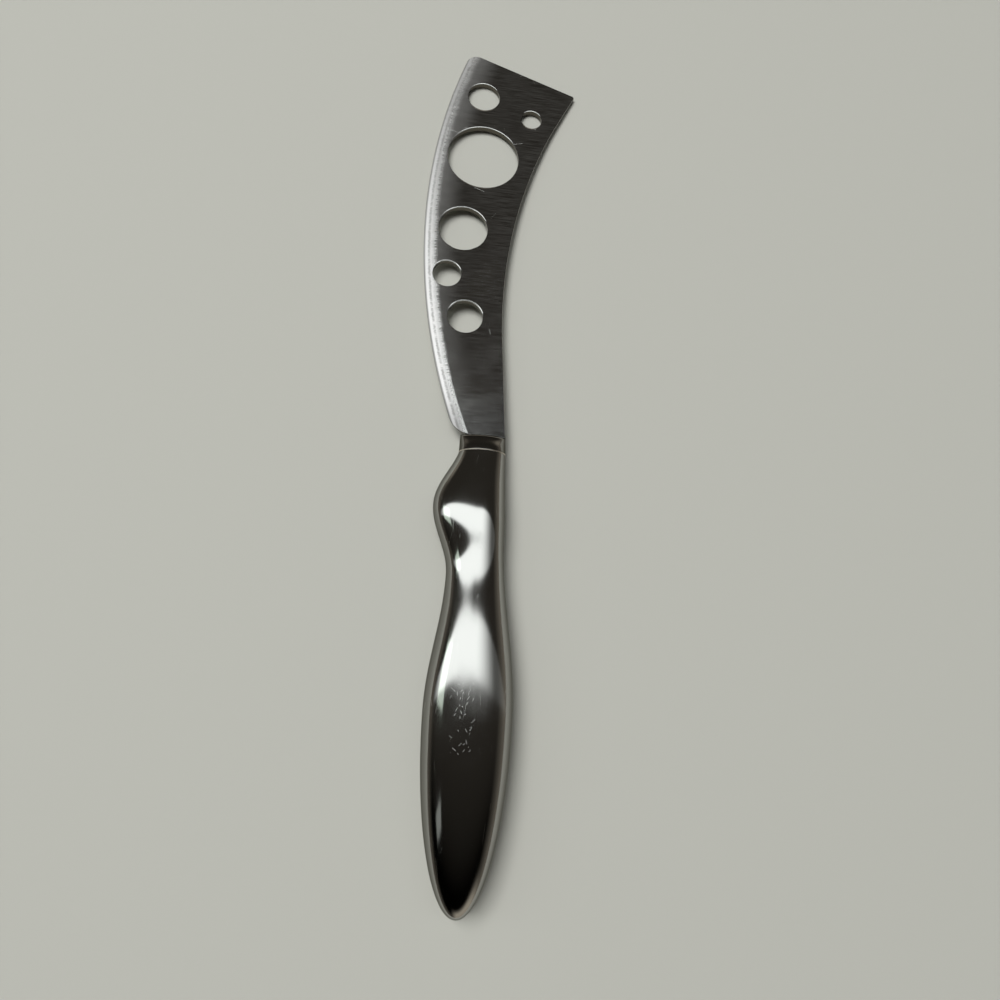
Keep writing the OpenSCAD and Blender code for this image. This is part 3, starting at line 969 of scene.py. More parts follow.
def shell_tree(segments: int) -> NodeTree:
    """Builds the tree that sweeps one half of the handle's wall through its stations.

    A row of the grid runs over the outer skin, back under the inner one, and ends on its first point.

    Args:
        segments: The number of segments in each skin's half oval.

    Returns:
        The tree.
    """
    net = SweptGrid(
        "handle_half_shell",
        {"Stations": SocketKind.SOLID, "Segments": segments, "Rings": 10, "Lift": 0.2, "Side": 1.0},
        lambda given: (given["Segments"] + 1.0) * len(SKINS) + 1.0,
    )
    count = net.given["Segments"]
    loop = net.columns - 1.0
    column = net.math("FLOORED_MODULO", net.column, loop)
    inner = net.math("GREATER_THAN", column, count + 0.5)
    share = net.blend(inner, column / count, (loop - 1.0 - column) / count)

    def station(name: str) -> Signal:
        """Reads an outer and an inner attribute of the ring's station and picks one."""
        skins = [
            net.signal(
                "GeometryNodeSampleIndex", {"data_type": "FLOAT", "domain": "POINT"},
                Geometry=net.given["Stations"], Index=net.row,
                Value=net.signal(
                    "GeometryNodeInputNamedAttribute", {"data_type": "FLOAT"}, Name=f"{skin}_{name}"),
            )
            for skin in SKINS
        ]
        return net.blend(inner, *skins)

    y, guard, spine, height = (station(name) for name in STATION_SIZES)
    cut = net.math("ARCSINE", net.math("MINIMUM", net.given["Lift"] / height, 1.0))
    angle = share * (math.pi - cut * 2.0) + cut
    across = net.math("COSINE", angle)
    width = net.blend(net.math("GREATER_THAN", across, 0.0), guard, spine)
    up = net.math("SINE", angle) * height
    return net.bent(net.given["Rings"], net.combine(across * width, y, up * net.given["Side"]), seam=0.0004)


def rim_tree(rounding_steps: int = 4) -> NodeTree:
    """Builds the tree for the wall of a punched hole, with its broken edges above and below.

    Args:
        rounding_steps: The number of steps in each broken edge.

    Returns:
        The tree.
    """
    net = SweptGrid(
        "punched_hole_rim",
        {"Geometry": SocketKind.SOLID, "Radius": 5.0, "Half height": 0.75, "Rounding": 0.1, "Segments": 96},
        lambda given: given["Segments"] + 1.0,
    )
    last = 2 * rounding_steps + 1
    bend = net.math("MINIMUM", net.row, float(last) - net.row) * (math.pi / 2 / rounding_steps)
    below = net.math("GREATER_THAN", net.row, rounding_steps + 0.5)
    rounding = net.given["Rounding"]
    reach = net.given["Radius"] + rounding - rounding * net.math("SINE", bend)
    up = net.given["Half height"] - rounding + rounding * net.math("COSINE", bend)
    up = up * net.blend(below, 1.0, -1.0)
    angle = net.column * (2 * math.pi) / net.given["Segments"]
    place = net.combine(reach * net.math("COSINE", angle), reach * net.math("SINE", angle), up)
    return net.bent(last + 1, place, seam=0.0005)


def grown(tree: NodeTree, start: Mesh, values: dict[str, object]) -> Mesh:
    """Runs a geometry tree on a mesh and returns what it makes as a plain mesh.

    Args:
        tree: The geometry nodes.
        start: The mesh that the tree's first input gets.
        values: Values for the tree's named inputs.

    Returns:
        The new mesh.
    """
    holder = bpy.data.objects.new("holder", start)
    bpy.context.scene.collection.objects.link(holder)
    modifier = holder.modifiers.new("tree", "NODES")
    modifier.node_group = tree
    for socket in tree.interface.items_tree:
        if socket.in_out == "INPUT" and socket.name in values:
            modifier[socket.identifier] = values[socket.name]
    bpy.context.view_layer.update()
    made = bpy.data.meshes.new_from_object(holder.evaluated_get(bpy.context.evaluated_depsgraph_get()))
    holder.modifiers.remove(modifier)
    bpy.data.objects.remove(holder)
    return made


@dataclass
class Handle:
    """The hollow handle: two half shells and the weld between them."""

    sizes: KnifeSizes
    lie: Lie
    finish: Material
    segments: int = 72
    nose_steps: int = 44
    neck_steps: int = 110
    skin_inset: float = 0.012
    rim_depth: float = 0.01
    nose_width: float = 0.3
    outer_share: float = 0.97
    form: HandleForm = field(init=False)

    def __post_init__(self) -> None:
        """Works out the sections from the sizes."""
        self.form = HandleForm(self.sizes)

    def skin_station(self, step: int, inset: float) -> tuple[float, float, float, float]:
        """One station of a skin: its distance, two half widths and half height."""
        s = self.sizes
        inset = max(inset, self.skin_inset)
        lift = s.weld_height / 2
        if step <= self.nose_steps:
            first = math.asin(lift / (s.belly_thickness / 2 - inset))
            turn = first + (math.pi / 2 - first) * step / self.nose_steps
            y = s.belly_y - (s.belly_y - inset) * math.cos(turn)
        else:
            y = s.belly_y + (s.handle_length - s.belly_y) * (step - self.nose_steps) / self.neck_steps
        return (y, *self.form.section(y, inset))

    def stations(self) -> Mesh:
        """A mesh of bare points that carries each station's sizes as attributes."""
        s = self.sizes
        count = self.nose_steps + self.neck_steps + 1
        outer = [self.skin_station(step, 0.0) for step in range(count)]
        inner = [self.skin_station(step, s.wall) for step in range(count)]
        outer.append(inner[-1])
        inner.append(inner[-1])
        mesh = bpy.data.meshes.new("stations")
        mesh.from_pydata([(0, row[0], 0) for row in outer], [], [])
        for skin, rows in zip(SKINS, (outer, inner)):
            for column, name in enumerate(STATION_SIZES):
                layer = mesh.attributes.new(f"{skin}_{name}", "FLOAT", "POINT")
                layer.data.foreach_set("value", [row[column] for row in rows])
        return mesh

    def outer_normal(self, point: Vector, flat: Vector) -> Vector | None:
        """Exact normal on the outer skin, and None on the inner skin and the flat rims."""
        s = self.sizes
        if abs(flat.z) > SQUARE or (abs(flat.y) > SQUARE and point.y > s.handle_length - self.rim_depth):
            return None
        guard, spine, height = self.form.section(min(max(point.y, 0.0), s.handle_length))
        width = spine if point.x > 0 else guard
        if width < self.nose_width:
            return Vector((0, -1, 0)) if point.y < s.wall / 2 else None
        if (point.x / width) ** 2 + (point.z / height) ** 2 < self.outer_share:
            return None
        return self.form.normal(point)

    def shell(self, name: str, side: float) -> Object:
        """One half shell of the handle.

        Args:
            name: The piece's name.
            side: 1 for the upper half, -1 for the lower.

        Returns:
            The piece, in place.
        """
        s = self.sizes
        stations = self.stations()
        mesh = grown(shell_tree(self.segments), stations, {
            "Segments": self.segments,
            "Rings": len(stations.vertices),
            "Lift": s.weld_height / 2,
            "Side": side,
            "Material": self.finish,
        })
        repair(mesh)
        return finished_piece(name, mesh, self.outer_normal, self.lie, self.finish)

    def weld(self, name: str) -> Object:
        """The weld strip that runs from the mouth round the nose and back to the mouth."""
        s = self.sizes
        half = s.weld_height / 2
        count = self.nose_steps + self.neck_steps
        rings: list[list[Vector]] = []
        for side in (-1, 1):
            rows = []
            for step in range(count + 1):
                corners = []
                for inset, heights in ((0.0, (-half, 0.0, half)), (s.wall, (half, -half))):
                    y, guard, spine, height = self.weld_station(step, inset)
                    width = spine if side > 0 else guard
                    for z in heights:
                        share = math.sqrt(max(0.0, 1 - (z / height) ** 2)) if height > half else 0.0
                        corners.append(Vector((side * width * share, y, z)))
                rows.append(corners)
            rings += rows[::-1] if side < 0 else rows[1:]
        mesh = loft(rings, closed_ends=True)
        return finished_piece(name, mesh, self.outer_normal, self.lie, self.finish)

    def weld_station(self, step: int, inset: float) -> tuple[float, float, float, float]:
        """A station of the weld, which starts at the very nose."""
        if step > 0:
            return self.skin_station(step, inset)
        return max(inset, self.skin_inset), 0.0, 0.0, self.sizes.weld_height / 4


def repair(mesh: Mesh) -> None:
    """Drops faces without area and points all the others outwards."""
    work = bmesh.new()
    work.from_mesh(mesh)
    bmesh.ops.dissolve_degenerate(work, dist=WELDED, edges=work.edges)
    bmesh.ops.recalc_face_normals(work, faces=work.faces)
    work.to_mesh(mesh)
    work.free()


def loft(rings: Sequence[Sequence[Vector]], closed_ends: bool) -> Mesh:
    """A closed skin through rings of points.

    Args:
        rings: Rings with the same number of points each.
        closed_ends: Whether the first and the last ring get a flat cap.

    Returns:
        The mesh, with its faces pointing outwards.
    """
    work = bmesh.new()
    rows = [[work.verts.new(point) for point in ring] for ring in rings]
    count = len(rings[0])
    for row, following in zip(rows, rows[1:]):
        for step in range(count):
            following_step = (step + 1) % count
            work.faces.new((row[step], row[following_step], following[following_step], following[step]))
    if closed_ends:
        work.faces.new(rows[0])
        work.faces.new(rows[-1])
    bmesh.ops.remove_doubles(work, verts=work.verts, dist=WELDED)
    bmesh.ops.recalc_face_normals(work, faces=work.faces)
    mesh = bpy.data.meshes.new("loft")
    work.to_mesh(mesh)
    work.free()
    return mesh


@dataclass
class Joint:
    """The bolster with its plug and slot, and the solder ring behind it."""

    sizes: KnifeSizes
    lie: Lie
    steel: Material
    solder: Material
    steps: int = 96
    collar_steps: int = 40
    lip_height: float = 3.1
    lip_length: float = 0.9
    slope_step: float = 0.01
    outer_share: float = 0.95
    ring_share: float = 0.8

    def oval(self, y: float, guard: float, spine: float, height: float) -> list[Vector]:
        """One oval section at a distance from the nose."""
        points = []
        for step in range(self.steps):
            angle = 2 * math.pi * step / self.steps
            width = spine if math.cos(angle) > 0 else guard
            points.append(Vector((width * math.cos(angle), y, height * math.sin(angle))))
        return points

    def collar(self, y: float) -> Triple:
        """Half widths and half height of the bolster at a distance from the nose."""
        s = self.sizes
        ends = (
            (s.mouth_guard, s.bolster_front_guard),
            (s.mouth_spine, s.spine_start),
            (s.mouth_thickness / 2, self.lip_height),
        )
        guard, spine, height = (wave(y, (s.bolster_back, a), (s.bolster_front, b)) for a, b in ends)
        over = max(0.0, 1 - (s.bolster_front - y) / self.lip_length)
        front = s.bolster_front_thickness / 2
        return guard, spine, front + (height - front) * math.sqrt(max(0.0, 1 - over * over))

    def slot(self, y: float) -> list[Vector]:
        """The slot's outline, with as many points as an oval, each along the oval's own ray."""
        s = self.sizes
        half_width = s.tang_width / 2 + s.fit_gap
        half_height = s.tang_thickness / 2 + s.fit_gap
        points = []
        for step in range(self.steps):
            angle = 2 * math.pi * step / self.steps
            across, up = math.cos(angle), math.sin(angle)
            reach = min(half_width / max(abs(across), TINY), half_height / max(abs(up), TINY))
            points.append(Vector((across * reach, y, up * reach)))
        return points

    def collar_normal(self, point: Vector, flat: Vector) -> Vector | None:
        """Exact normal on the collar's outside, and None elsewhere."""
        s = self.sizes
        if abs(flat.y) > SQUARE or point.y < s.bolster_back - TINY:
            return None
        guard, spine, height = self.collar(point.y)
        width = spine if point.x > 0 else guard
        if (point.x / width) ** 2 + (point.z / height) ** 2 < self.outer_share:
            return None
        behind = max(point.y - self.slope_step, s.bolster_back)
        ahead = min(point.y + self.slope_step, s.bolster_front)
        low, high, run = self.collar(behind), self.collar(ahead), ahead - behind
        side = 1 if point.x > 0 else 0
        across, up = point.x / width, point.z / height
        fall = across * across * (high[side] - low[side]) / width + up * up * (high[2] - low[2]) / height
        return Vector((across / width, -fall / run, up / height)).normalized()

    def bolster(self, name: str) -> Object:
        """The collar with its plug, pierced by the tang's slot."""
        s = self.sizes
        inset = s.wall + s.fit_gap
        form = HandleForm(s)
        rings = [self.slot(s.bolster_front)]
        for step in range(self.collar_steps + 1):
            y = s.bolster_front - s.bolster_length * step / self.collar_steps
            rings.append(self.oval(y, *self.collar(y)))
        mouth = (s.mouth_guard - inset, s.mouth_spine - inset, s.mouth_thickness / 2 - inset)
        rings.append(self.oval(s.bolster_back, *mouth))
        rings.append(self.oval(s.handle_length, *mouth))
        rings.append(self.oval(s.plug_back, *form.section(s.plug_back, inset)))
        rings.append(self.slot(s.plug_back))
        rings.append(rings[0])
        mesh = loft(rings, closed_ends=False)
        return finished_piece(name, mesh, self.collar_normal, self.lie, self.steel)

    def ring(self, name: str) -> Object:
        """The thin oval of filler metal between the handle and the bolster."""
        s = self.sizes
        outer = (s.mouth_guard, s.mouth_spine, s.mouth_thickness / 2)
        inner = tuple(size - s.wall for size in outer)
        corners = [
            self.oval(s.handle_length, *outer), self.oval(s.bolster_back, *outer),
            self.oval(s.bolster_back, *inner), self.oval(s.handle_length, *inner),
        ]
        mesh = loft([*corners, corners[0]], closed_ends=False)

        def rounded(point: Vector, flat: Vector) -> Vector | None:
            """Oval normal on the outside of the ring."""
            share = (point.x / outer[0]) ** 2 + (point.z / outer[2]) ** 2
            if abs(flat.y) > SQUARE or share < self.ring_share:
                return None
            width = outer[1] if point.x > 0 else outer[0]
            return Vector((point.x / width ** 2, 0, point.z / outer[2] ** 2)).normalized()

        return finished_piece(name, mesh, rounded, self.lie, self.solder)


@dataclass
class Blade:
    """The plate with its ground edge, its punched holes and its tang."""

    sizes: KnifeSizes
    lie: Lie
    finish: Material
    drawn_in: float = 0.002
    broken_edge: float = 0.18
    crease_half: float = 0.35
    edge_steps: int = 240
    spine_steps: int = 90
    corner_steps: int = 10
    tip_steps: int = 20
    heel_steps: int = 28
    hole_steps: int = 96
    line_step: float = 0.5
    crease_turn: tuple[float, float] = (155.0, 206.0)
    crease_clearance: float = 0.3
    tang_gap: float = 0.002
    thin_share: float = 0.4
    face_slant: float = 0.3
    wall_slant: float = 0.05
    uv_unit: float = 100.0
    foot_gap: float = 0.01
    tang_margin: float = 0.01
    rim_margin: float = 0.001

    def arc(
            self, centre: Vector, radius: float, start: float, end: float, steps: int, sign: float = 1.0
    ) -> Outline:
        """Points of an arc with the outline's outward normals, which sign turns inwards for a hollow."""
        rows = []
        for step in range(steps + 1):
            out = turned(start + (end - start) * step / steps)
            rows.append((centre + radius * out, sign * out))
        return rows

    def on_edge_ring(self, start: Vector, along: Vector, radius: float) -> Vector:
        """The point on a line that lies at a distance from the cutting edge's centre, on its near side."""
        back = start - self.sizes.edge_centre
        half = back.dot(along)
        return start - along * (half + math.sqrt(half * half - back.dot(back) + radius * radius))

    def outline(self) -> Outline:
        """The blade's outline without the tang, as points with outward normals, turning left."""
        s = self.sizes
        centre = s.edge_centre
        foot = Vector((s.spine_start, s.bolster_front))
        bend = foot + s.spine_straight * turned(90 + s.spine_lean)
        spine_centre = bend + s.spine_radius * turned(s.spine_lean)
        end = spine_centre + s.spine_radius * turned(180 - s.spine_flare)
        flare_along = turned(90 - s.spine_flare)
        flare_out = turned(-s.spine_flare)
        corner = meeting(
            end - s.spine_corner_round * flare_out, flare_along,
            s.tip_point - s.spine_corner_round * s.tip_out, s.tip_along,
        )
        tip_circle = self.on_edge_ring(
            s.tip_point - s.tip_round * s.tip_out, s.tip_along, s.edge_radius - s.tip_round)
        below = s.edge_crest - s.heel_round
        heel_circle = centre - Vector((math.sqrt((s.edge_radius - s.heel_round) ** 2 - below ** 2), below))
        tip_turn = bearing(tip_circle - centre) % 360
        heel_turn = bearing(heel_circle - centre) % 360
        down = Vector((0, -1))
        heel_end = Vector((heel_circle.x, s.bolster_front))
        rows = self.line(heel_end, Vector((foot.x - self.foot_gap, foot.y)), down)
        rows.append((foot, turned(s.spine_lean)))
        start, end = 180 + s.spine_lean, 180 - s.spine_flare
        rows += self.arc(spine_centre, s.spine_radius, start, end, self.spine_steps, -1.0)
        rows += self.arc(corner, s.spine_corner_round, -s.spine_flare, 90 - s.tip_slant, self.corner_steps)
        rows += self.line(
            corner + s.spine_corner_round * s.tip_out, tip_circle + s.tip_round * s.tip_out, s.tip_out)[1:-1]
        rows += self.arc(tip_circle, s.tip_round, 90 - s.tip_slant, tip_turn, self.tip_steps)
        rows += self.arc(centre, s.edge_radius, tip_turn, heel_turn, self.edge_steps)[1:]
        rows += self.arc(heel_circle, s.heel_round, heel_turn, 270, self.heel_steps)[1:-1]
        return [(point - self.drawn_in * out, out) for point, out in rows]

    def line(self, start: Vector, end: Vector, out: Vector) -> Outline:
        """Points of a straight stretch, evenly apart, with their outward normal."""
        steps = max(1, round((end - start).length / self.line_step))
        return [(start.lerp(end, step / steps), out) for step in range(steps + 1)]

    def crease_radii(self) -> list[float]:
        """Radii of the three lines that round the ground band's inner border, outermost first."""
        base = self.sizes.edge_radius - self.sizes.bevel_width
        return [base + self.crease_half, base, base - self.crease_half]

    def surface(self, point: Vector) -> tuple[float, Vector]:
        """Height and normal of the plate's upper face at a flat point."""
        s = self.sizes
        spoke = point.xy - s.edge_centre
        slope = (s.blade_thickness - s.edge_thickness) / 2 / s.bevel_width
        over = spoke.length - (s.edge_radius - s.bevel_width)
        if over <= -self.crease_half:
            return s.blade_thickness / 2, Vector((0, 0, 1))
        if over >= self.crease_half:
            fall, steep = slope * over, slope
        else:
            reach = over + self.crease_half
            fall, steep = slope * reach ** 2 / (4 * self.crease_half), slope * reach / (2 * self.crease_half)
        out = spoke.normalized() * steep
        return s.blade_thickness / 2 - fall, Vector((out.x, out.y, 1)).normalized()

    def faces_of(self, loop: list[Vector], holes: list[Hole], chains: list[list[Vector]]) -> (
            tuple[list[Vector], list[list[int]]]):
        """Triangles between an outline and round holes.

        Args:
            loop: The outline's points.
            holes: The holes, with their edges' breaking added.
            chains: Open lines that the triangles keep to.

        Returns:
            The flat points and the triangles.
        """
        points = list(loop)
        edges = [(step, (step + 1) % len(loop)) for step in range(len(loop))]
        for hole in holes:
            first = len(points)
            for step in range(self.hole_steps):
                centre = Vector((hole.x, hole.y))
                turn = turned(360 * step / self.hole_steps)
                points.append(centre + (hole.diameter / 2 + self.broken_edge) * turn)
                edges.append((first + step, first + (step + 1) % self.hole_steps))
        for chain in chains:
            first = len(points)
            points += chain
            edges += [(first + step, first + step + 1) for step in range(len(chain) - 1)]
        made, _, triangles, *_ = delaunay_2d_cdt(points, edges, [], 0, EXACT)
        kept = []
        for triangle in triangles:
            middle = sum((made[corner] for corner in triangle), Vector((0, 0))) / len(triangle)
            inside = within(middle, loop)
            clear = all((middle - Vector((h.x, h.y))).length > h.diameter / 2 for h in holes)
            if inside and clear:
                kept.append(list(triangle))
        return [Vector(point) for point in made], kept

    def plate(
            self, work: bmesh.types.BMesh, rows: Outline, holes: list[Hole], chains: list[list[Vector]],
            surface: Surface) -> None:
        """Adds a closed plate with broken edges to the mesh, but for the walls of its holes."""
        loop = [point - self.broken_edge * out for point, out in rows]
        points, triangles = self.faces_of(loop, holes, chains)
        for side in (1, -1):
            corners = [work.verts.new((p.x, p.y, side * surface(p)[0])) for p in points]
            for triangle in triangles:
                face = [corners[step] for step in triangle]
                work.faces.new(face)
        walls = []
        for point, out in rows:
            inner = point - self.broken_edge * out
            low = surface(point)[0]
            drop = min(self.broken_edge, self.thin_share * low)
            walls.append([
                work.verts.new((inner.x, inner.y, surface(inner)[0])),
                work.verts.new((point.x, point.y, low - drop)),
                work.verts.new((point.x, point.y, drop - low)),
                work.verts.new((inner.x, inner.y, -surface(inner)[0])),
            ])
        for first, second in zip(walls, walls[1:] + walls[:1]):
            for row in range(3):
                work.faces.new((first[row], second[row], second[row + 1], first[row + 1]))

    def rims(self, work: bmesh.types.BMesh, holes: list[Hole], surface: Surface) -> None:
        """Adds the walls of round holes, grown by geometry nodes, as high as the plate is there."""
        tree = rim_tree()
        half_height = surface(Vector((0, 0, 0)))[0]
        for hole in holes:
            mesh = grown(tree, bpy.data.meshes.new("rim"), {
                "Radius": hole.diameter / 2,
                "Half height": half_height,
                "Rounding": self.broken_edge,
                "Segments": self.hole_steps,
                "Material": self.finish,
            })
            mesh.transform(Matrix.Translation((hole.x, hole.y, 0)))
            for vertex in mesh.vertices:
                vertex.co.z *= surface(vertex.co)[0] / half_height
            work.from_mesh(mesh)
            bpy.data.meshes.remove(mesh)

    def chains(self, loop: list[Vector], holes: list[Hole]) -> list[list[Vector]]:
        """The lines along the ground band's inner border, left out close to the outline and the holes."""
        s = self.sizes
        lines: list[list[Vector]] = []
        for radius in self.crease_radii():
            run: list[Vector] = []
            for point, _ in self.arc(s.edge_centre, radius, *self.crease_turn, self.edge_steps):
                free = all(
                    (point - Vector((hole.x, hole.y))).length > hole.diameter / 2 + 3 * self.broken_edge
                    for hole in holes
                )
                reach = min((point - other).length for other in loop)
                if free and within(point, loop) and reach > self.crease_clearance:
                    run.append(point)
                elif run:
                    lines.append(run)
                    run = []
            lines.append(run)
        return [line for line in lines if len(line) > 1]

    def normal_at(self, point: Vector, flat: Vector) -> Vector | None:
        """Exact normals on the faces and rounded walls, and None where a flat face is right."""
        s = self.sizes
        height, normal = self.surface(point)
        if point.y < s.bolster_front - self.tang_margin:
            return None
        if abs(point.z) >= height - TINY and abs(flat.z) > self.face_slant:
            return Vector((normal.x, normal.y, math.copysign(normal.z, point.z)))
        for hole in punched_holes(s):
            spoke = point.xy - Vector((hole.x, hole.y))
            reach = hole.diameter / 2
            if spoke.length < reach + self.broken_edge + self.rim_margin:
                lean = max(0.0, min(1.0, (spoke.length - reach) / self.broken_edge))
                up = math.copysign(math.sin(lean * math.pi / 2), point.z)
                inward = -spoke.normalized() * math.cos(lean * math.pi / 2)
                return Vector((inward.x, inward.y, up)).normalized()
        side = Vector((flat.x, flat.y, 0))
        return side.normalized() if side.length > self.wall_slant else None

    def tang(self) -> Outline:
        """The tang's outline, four corners that each stand out both ways."""
        s = self.sizes
        half = s.tang_width / 2
        top = s.bolster_front - self.tang_gap
        corners = [(-half, s.tang_back), (half, s.tang_back), (half, top), (-half, top)]
        outs = [(-1, -1), (1, -1), (1, 1), (-1, 1)]
        return [(Vector(corner), Vector(out)) for corner, out in zip(corners, outs)]

    def unwrap(self, mesh: Mesh) -> None:
        """Adds two UV maps, whose directions the brushing and the grinding follow."""
        s = self.sizes
        lengthwise = mesh.uv_layers.new(name=LENGTHWISE)
        along_edge = mesh.uv_layers.new(name=ALONG_EDGE)
        for loop in mesh.loops:
            point = mesh.vertices[loop.vertex_index].co
            spoke = point.xy - s.edge_centre
            turn = -math.radians(bearing(spoke) % 360)
            lengthwise.data[loop.index].uv = (point.y / self.uv_unit, -point.x / self.uv_unit)
            along_edge.data[loop.index].uv = (turn, spoke.length / s.edge_radius)

    def build(self, name: str) -> Object:
        """The whole blade as one piece, in place."""
        s = self.sizes
        work = bmesh.new()
        rows, holes = self.outline(), punched_holes(s)
        self.plate(work, rows, holes, self.chains([point for point, _ in rows], holes), self.surface)
        self.rims(work, holes, self.surface)
        level = (s.tang_thickness / 2, Vector((0, 0, 1)))
        self.plate(work, self.tang(), key_holes(s), [], lambda _: level)
        self.rims(work, key_holes(s), lambda _: level)
        bmesh.ops.remove_doubles(work, verts=work.verts, dist=TINY)
        bmesh.ops.recalc_face_normals(work, faces=work.faces)
        mesh = bpy.data.meshes.new(name)
        work.to_mesh(mesh)
        work.free()
        self.unwrap(mesh)
        return finished_piece(name, mesh, self.normal_at, self.lie, self.finish)


def within(point: Vector, loop: list[Vector]) -> bool:
    """Whether a flat point lies inside a closed outline."""
    inside = False
    for first, second in zip(loop, loop[1:] + loop[:1]):
        if (first.y > point.y) != (second.y > point.y):
            cross = first.x + (point.y - first.y) / (second.y - first.y) * (second.x - first.x)
            inside ^= cross > point.x
    return inside


@dataclass(frozen=True)
class Viewpoint:
    """The camera, given in the knife's own frame: millimetres and degrees."""

    foot_x: float = -17.4
    foot_y: float = 48.7
    height: float = 199.55
    azimuth: float = 22.19
    pitch: float = 73.0
    roll: float = 26.0
    lens: float = 27.0
    sensor: float = 36.0
    nearest: float = 0.01

    def place(self, lie: Lie) -> None:
        """Adds the camera and makes it the scene's.

        Args:
            lie: The knife's placing.
        """
        azimuth, pitch, roll = (math.radians(angle) for angle in (self.azimuth, self.pitch, self.roll))
        ahead = Vector((math.sin(azimuth), math.cos(azimuth), 0))
        aside = Vector((math.cos(azimuth), -math.sin(azimuth), 0))
        up = Vector((0, 0, 1))
        forward = math.cos(pitch) * ahead - math.sin(pitch) * up
        tall = math.sin(pitch) * ahead + math.cos(pitch) * up
        right = math.cos(roll) * aside + math.sin(roll) * tall
        top = math.cos(roll) * tall - math.sin(roll) * aside
        turn = lie.matrix.to_quaternion().to_matrix()
        axes = Matrix((turn @ right, turn @ top, turn @ -forward)).transposed()
        data = bpy.data.cameras.new("camera")
        data.lens = self.lens
        data.sensor_width = self.sensor
        data.clip_start = self.nearest
        camera = bpy.data.objects.new("camera", data)
        place = lie.matrix @ Vector((self.foot_x, self.foot_y, self.height))
        camera.matrix_world = Matrix.Translation(place) @ axes.to_4x4()
        bpy.context.scene.collection.objects.link(camera)
        bpy.context.scene.camera = camera


class Reach(Enum):
    """Which rays see a lamp."""

    ALL = "all"
    SOFT_ONLY = "soft only"


@dataclass(frozen=True)
class Softbox:
    """A rectangular lamp that faces the knife: degrees, metres and radiance."""

    name: str
    azimuth: float
    elevation: float
    distance: float
    width: float
    height: float
    radiance: float
    colour: Triple
    reach: Reach = Reach.ALL

    def place(self) -> None:
        """Adds the lamp, aimed at the knife's middle."""
        azimuth, elevation = math.radians(self.azimuth), math.radians(self.elevation)
        direction = Vector((
            math.sin(azimuth) * math.cos(elevation),
            math.cos(azimuth) * math.cos(elevation),
            math.sin(elevation),
        ))
        data = bpy.data.lights.new(self.name, "AREA")
        data.shape = "RECTANGLE"
        data.size = self.width
        data.size_y = self.height
        data.energy = self.radiance * math.pi * self.width * self.height
        data.color = self.colour
        lamp = bpy.data.objects.new(self.name, data)
        turn = direction.to_track_quat("Z", "Y").to_matrix().to_4x4()
        lamp.matrix_world = Matrix.Translation(direction * self.distance) @ turn
        lamp.visible_camera = False
        lamp.visible_glossy = self.reach is Reach.ALL
        bpy.context.scene.collection.objects.link(lamp)


@dataclass(frozen=True)
class CeilingLight:
    """A long, wide light across the ceiling, just in front of the knife.

    All are angles in degrees. The borders lie ahead of the vertical and run straight from one angle
    aside to another. The ends fade out towards the left and the right.
    """

    back_border: Fade = Fade(-60.0, -10.0, 9.2, 5.0)
    front_border: Fade = Fade(-50.0, 0.0, 26.0, 20.6)
    left_end: Fade = Fade(-82.0, -50.0)
    right_end: Fade = Fade(8.0, 55.0, 1.0, 0.06)
    softness: float = 1.0
    radiance: float = 1.75

    def level(self, net: Wiring, ahead: Signal, aside: Signal) -> Signal:
        """Adds the nodes that give the light's radiance in a direction, from its two angles in degrees."""
        over_back = ahead - net.ramp(aside, self.back_border)
        over_front = ahead - net.ramp(aside, self.front_border)
        level = net.smooth(over_back, -self.softness, self.softness, 0.0, self.radiance)
        level = level * net.smooth(over_front, -self.softness, self.softness, 1.0, 0.0)
        return level * net.fade(aside, self.left_end) * net.fade(aside, self.right_end)


